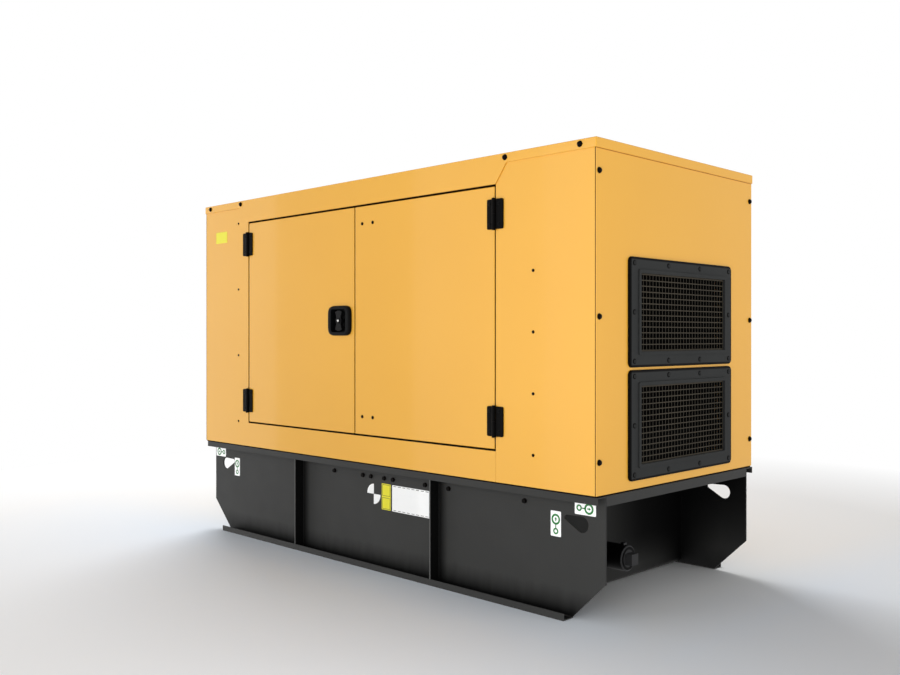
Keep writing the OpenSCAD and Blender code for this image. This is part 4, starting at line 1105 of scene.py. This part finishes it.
clamp = Form().turned([(0.0165, 0), (0.0165, 0.01), (0.015, 0.012), (0.0105, 0.012)], 24)
saddle = Form().turned([(0.0065, -0.008), (0.0078, -0.008), (0.0078, 0.008), (0.0065, 0.008),
                        (0.0065, -0.008)], 20, capped=False)
foot = Form().cut(rounded(0.016, 0.04, 0.003), [(0, 0), (0.0015, 0)])
lugs = Form().add(strap_bolt, (-0.86, 0.34, 0.424))
for place in (-0.56, -0.78):
    lugs.add(clamp, (place, 0.105, 0.648)).add(small_bolt, (place, 0.138, 0.664))
    lugs.block((place - 0.01, 0.112, 0.652), (place + 0.01, 0.15, 0.664), 0.002)
for place in (-0.3, -0.05, 0.2):
    lugs.add(saddle, (place, lead_line, deck_line), (1, 0, 0)).add(foot, (place, 0.31, 0.422))
    lugs.add(hex_bolt(0.008, 0.004), (place, 0.322, 0.4235))
lugs.made("battery_clamps", "moulded_black", zinc)


# ---- Floor, light and camera ----
# A pale studio floor that runs out into plain white, a high softbox behind the left end, low ones to
# the left, front and right, and a level camera at the set's front right corner.

floor_reach = 40.0
floor_paint = Finish("floor_paint", roughness=0.8, specular=0.1)
across, deep = floor_paint.axis("X"), floor_paint.axis("Y")
flat = (across * across + deep * deep) ** 0.5
# Painted light: a cool tint in front of the set and beside its right end cancels the yellow light the
# canopy bounces onto the floor.
ahead = deep.between(-0.2, -0.7) * deep.between(-3.2, -1.0)
beside = across.between(1.2, 1.5) * across.between(4.0, 2.2)
tone_and_cool_tint = floor_paint.mix(floor_paint.noise(1.5, 2), (236, 237, 237), (239, 240, 240))
tone_and_cool_tint = floor_paint.mix(ahead.larger(beside), tone_and_cool_tint, (230, 240, 252))
floor_paint.colour(floor_paint.mix(flat.between(1.0, 2.6), tone_and_cool_tint, (239, 239, 239)))
glow = floor_paint.node("Emission", {"Color": (1, 1, 1, 1), "Strength": 1.0})
paint = Wire(floor_paint, floor_paint.shader.outputs[0])
run_out = floor_paint.node("MixShader", {0: flat.between(2.4, 4.0), 1: paint, 2: glow})
floor_paint.feed(floor_paint.tree.nodes["Material Output"].inputs[0], run_out)

sheet = bpy.data.meshes.new("studio_floor")
corners = [(floor_reach * x, floor_reach * y, 0) for x, y in ((-1, -1), (1, -1), (1, 1), (-1, 1))]
sheet.from_pydata(corners, [], [(0, 1, 2, 3)])
sheet.materials.append(floor_paint.material)
studio_floor = placed("studio_floor", sheet)
studio_floor.visible_glossy = False

world = bpy.data.worlds.new("studio_air")
bpy.context.scene.world = world
world.use_nodes = True
air = Shades(world.node_tree)
camera_ray, glossy_ray, clear_ray = (
    air.node("LightPath", output=f"Is {kind} Ray")
    for kind in ("Camera", "Glossy", "Transmission"))
seen = camera_ray.larger(glossy_ray).larger(clear_ray)
level = air.node("MapRange", {"Value": seen, "To Min": 0.335, "To Max": 1.0})
background = air.tree.nodes["Background"]
air.feed(background.inputs["Color"], (1, 1, 1, 1))
air.feed(background.inputs["Strength"], level)


def soft_lamp(name, place, target, size, brightness, mirrored=True):
    """Softbox of that brightness, where 1 is white. Unless mirrored, gloss doesn't show it."""
    lamp = bpy.data.lights.new(name, "AREA")
    lamp.shape = "RECTANGLE"
    lamp.size, lamp.size_y = size
    lamp.energy = brightness * pi * size[0] * size[1]
    made = placed(name, lamp)
    made.location = place
    made.visible_glossy = mirrored
    made.rotation_euler = (Vector(target) - Vector(place)).to_track_quat("-Z", "Y").to_euler()


soft_lamp("high_softbox", (-3.9, 2.2, 5.2), (0, 0, 0.8), (4.0, 4.0), 6.6, mirrored=False)
soft_lamp("left_softbox", (-6.0, -1.83, 0.5), (0, -1.83, 0.5), (4.9, 5.0), 1.2)
soft_lamp("far_front_softbox", (-5.0, -6.5, 0.7), (-5.0, 0, 0.7), (2.2, 5.4), 1.2)
soft_lamp("front_softbox", (-2.1, -6.5, 0.7), (-2.1, 0, 0.7), (3.6, 5.4), 2.1)
soft_lamp("near_softbox", (2.0, -2.4, 0.7), (1.0, -0.5, 0.65), (1.2, 1.4), 4.2, mirrored=False)
soft_lamp("right_softbox", (5.8, 1.6, 0.9), (0, 0.3, 0.9), (4.2, 1.7), 3.6)

camera_data = bpy.data.cameras.new("camera")
camera_data.sensor_width = 36
camera_data.lens = 37.79
camera = placed("camera", camera_data)
camera.location = (2.981, -2.991, 0.939)
camera.rotation_euler = (radians(89.95), 0, radians(44.83))
bpy.context.scene.camera = camera
bpy.context.scene.view_settings.view_transform = "Standard"
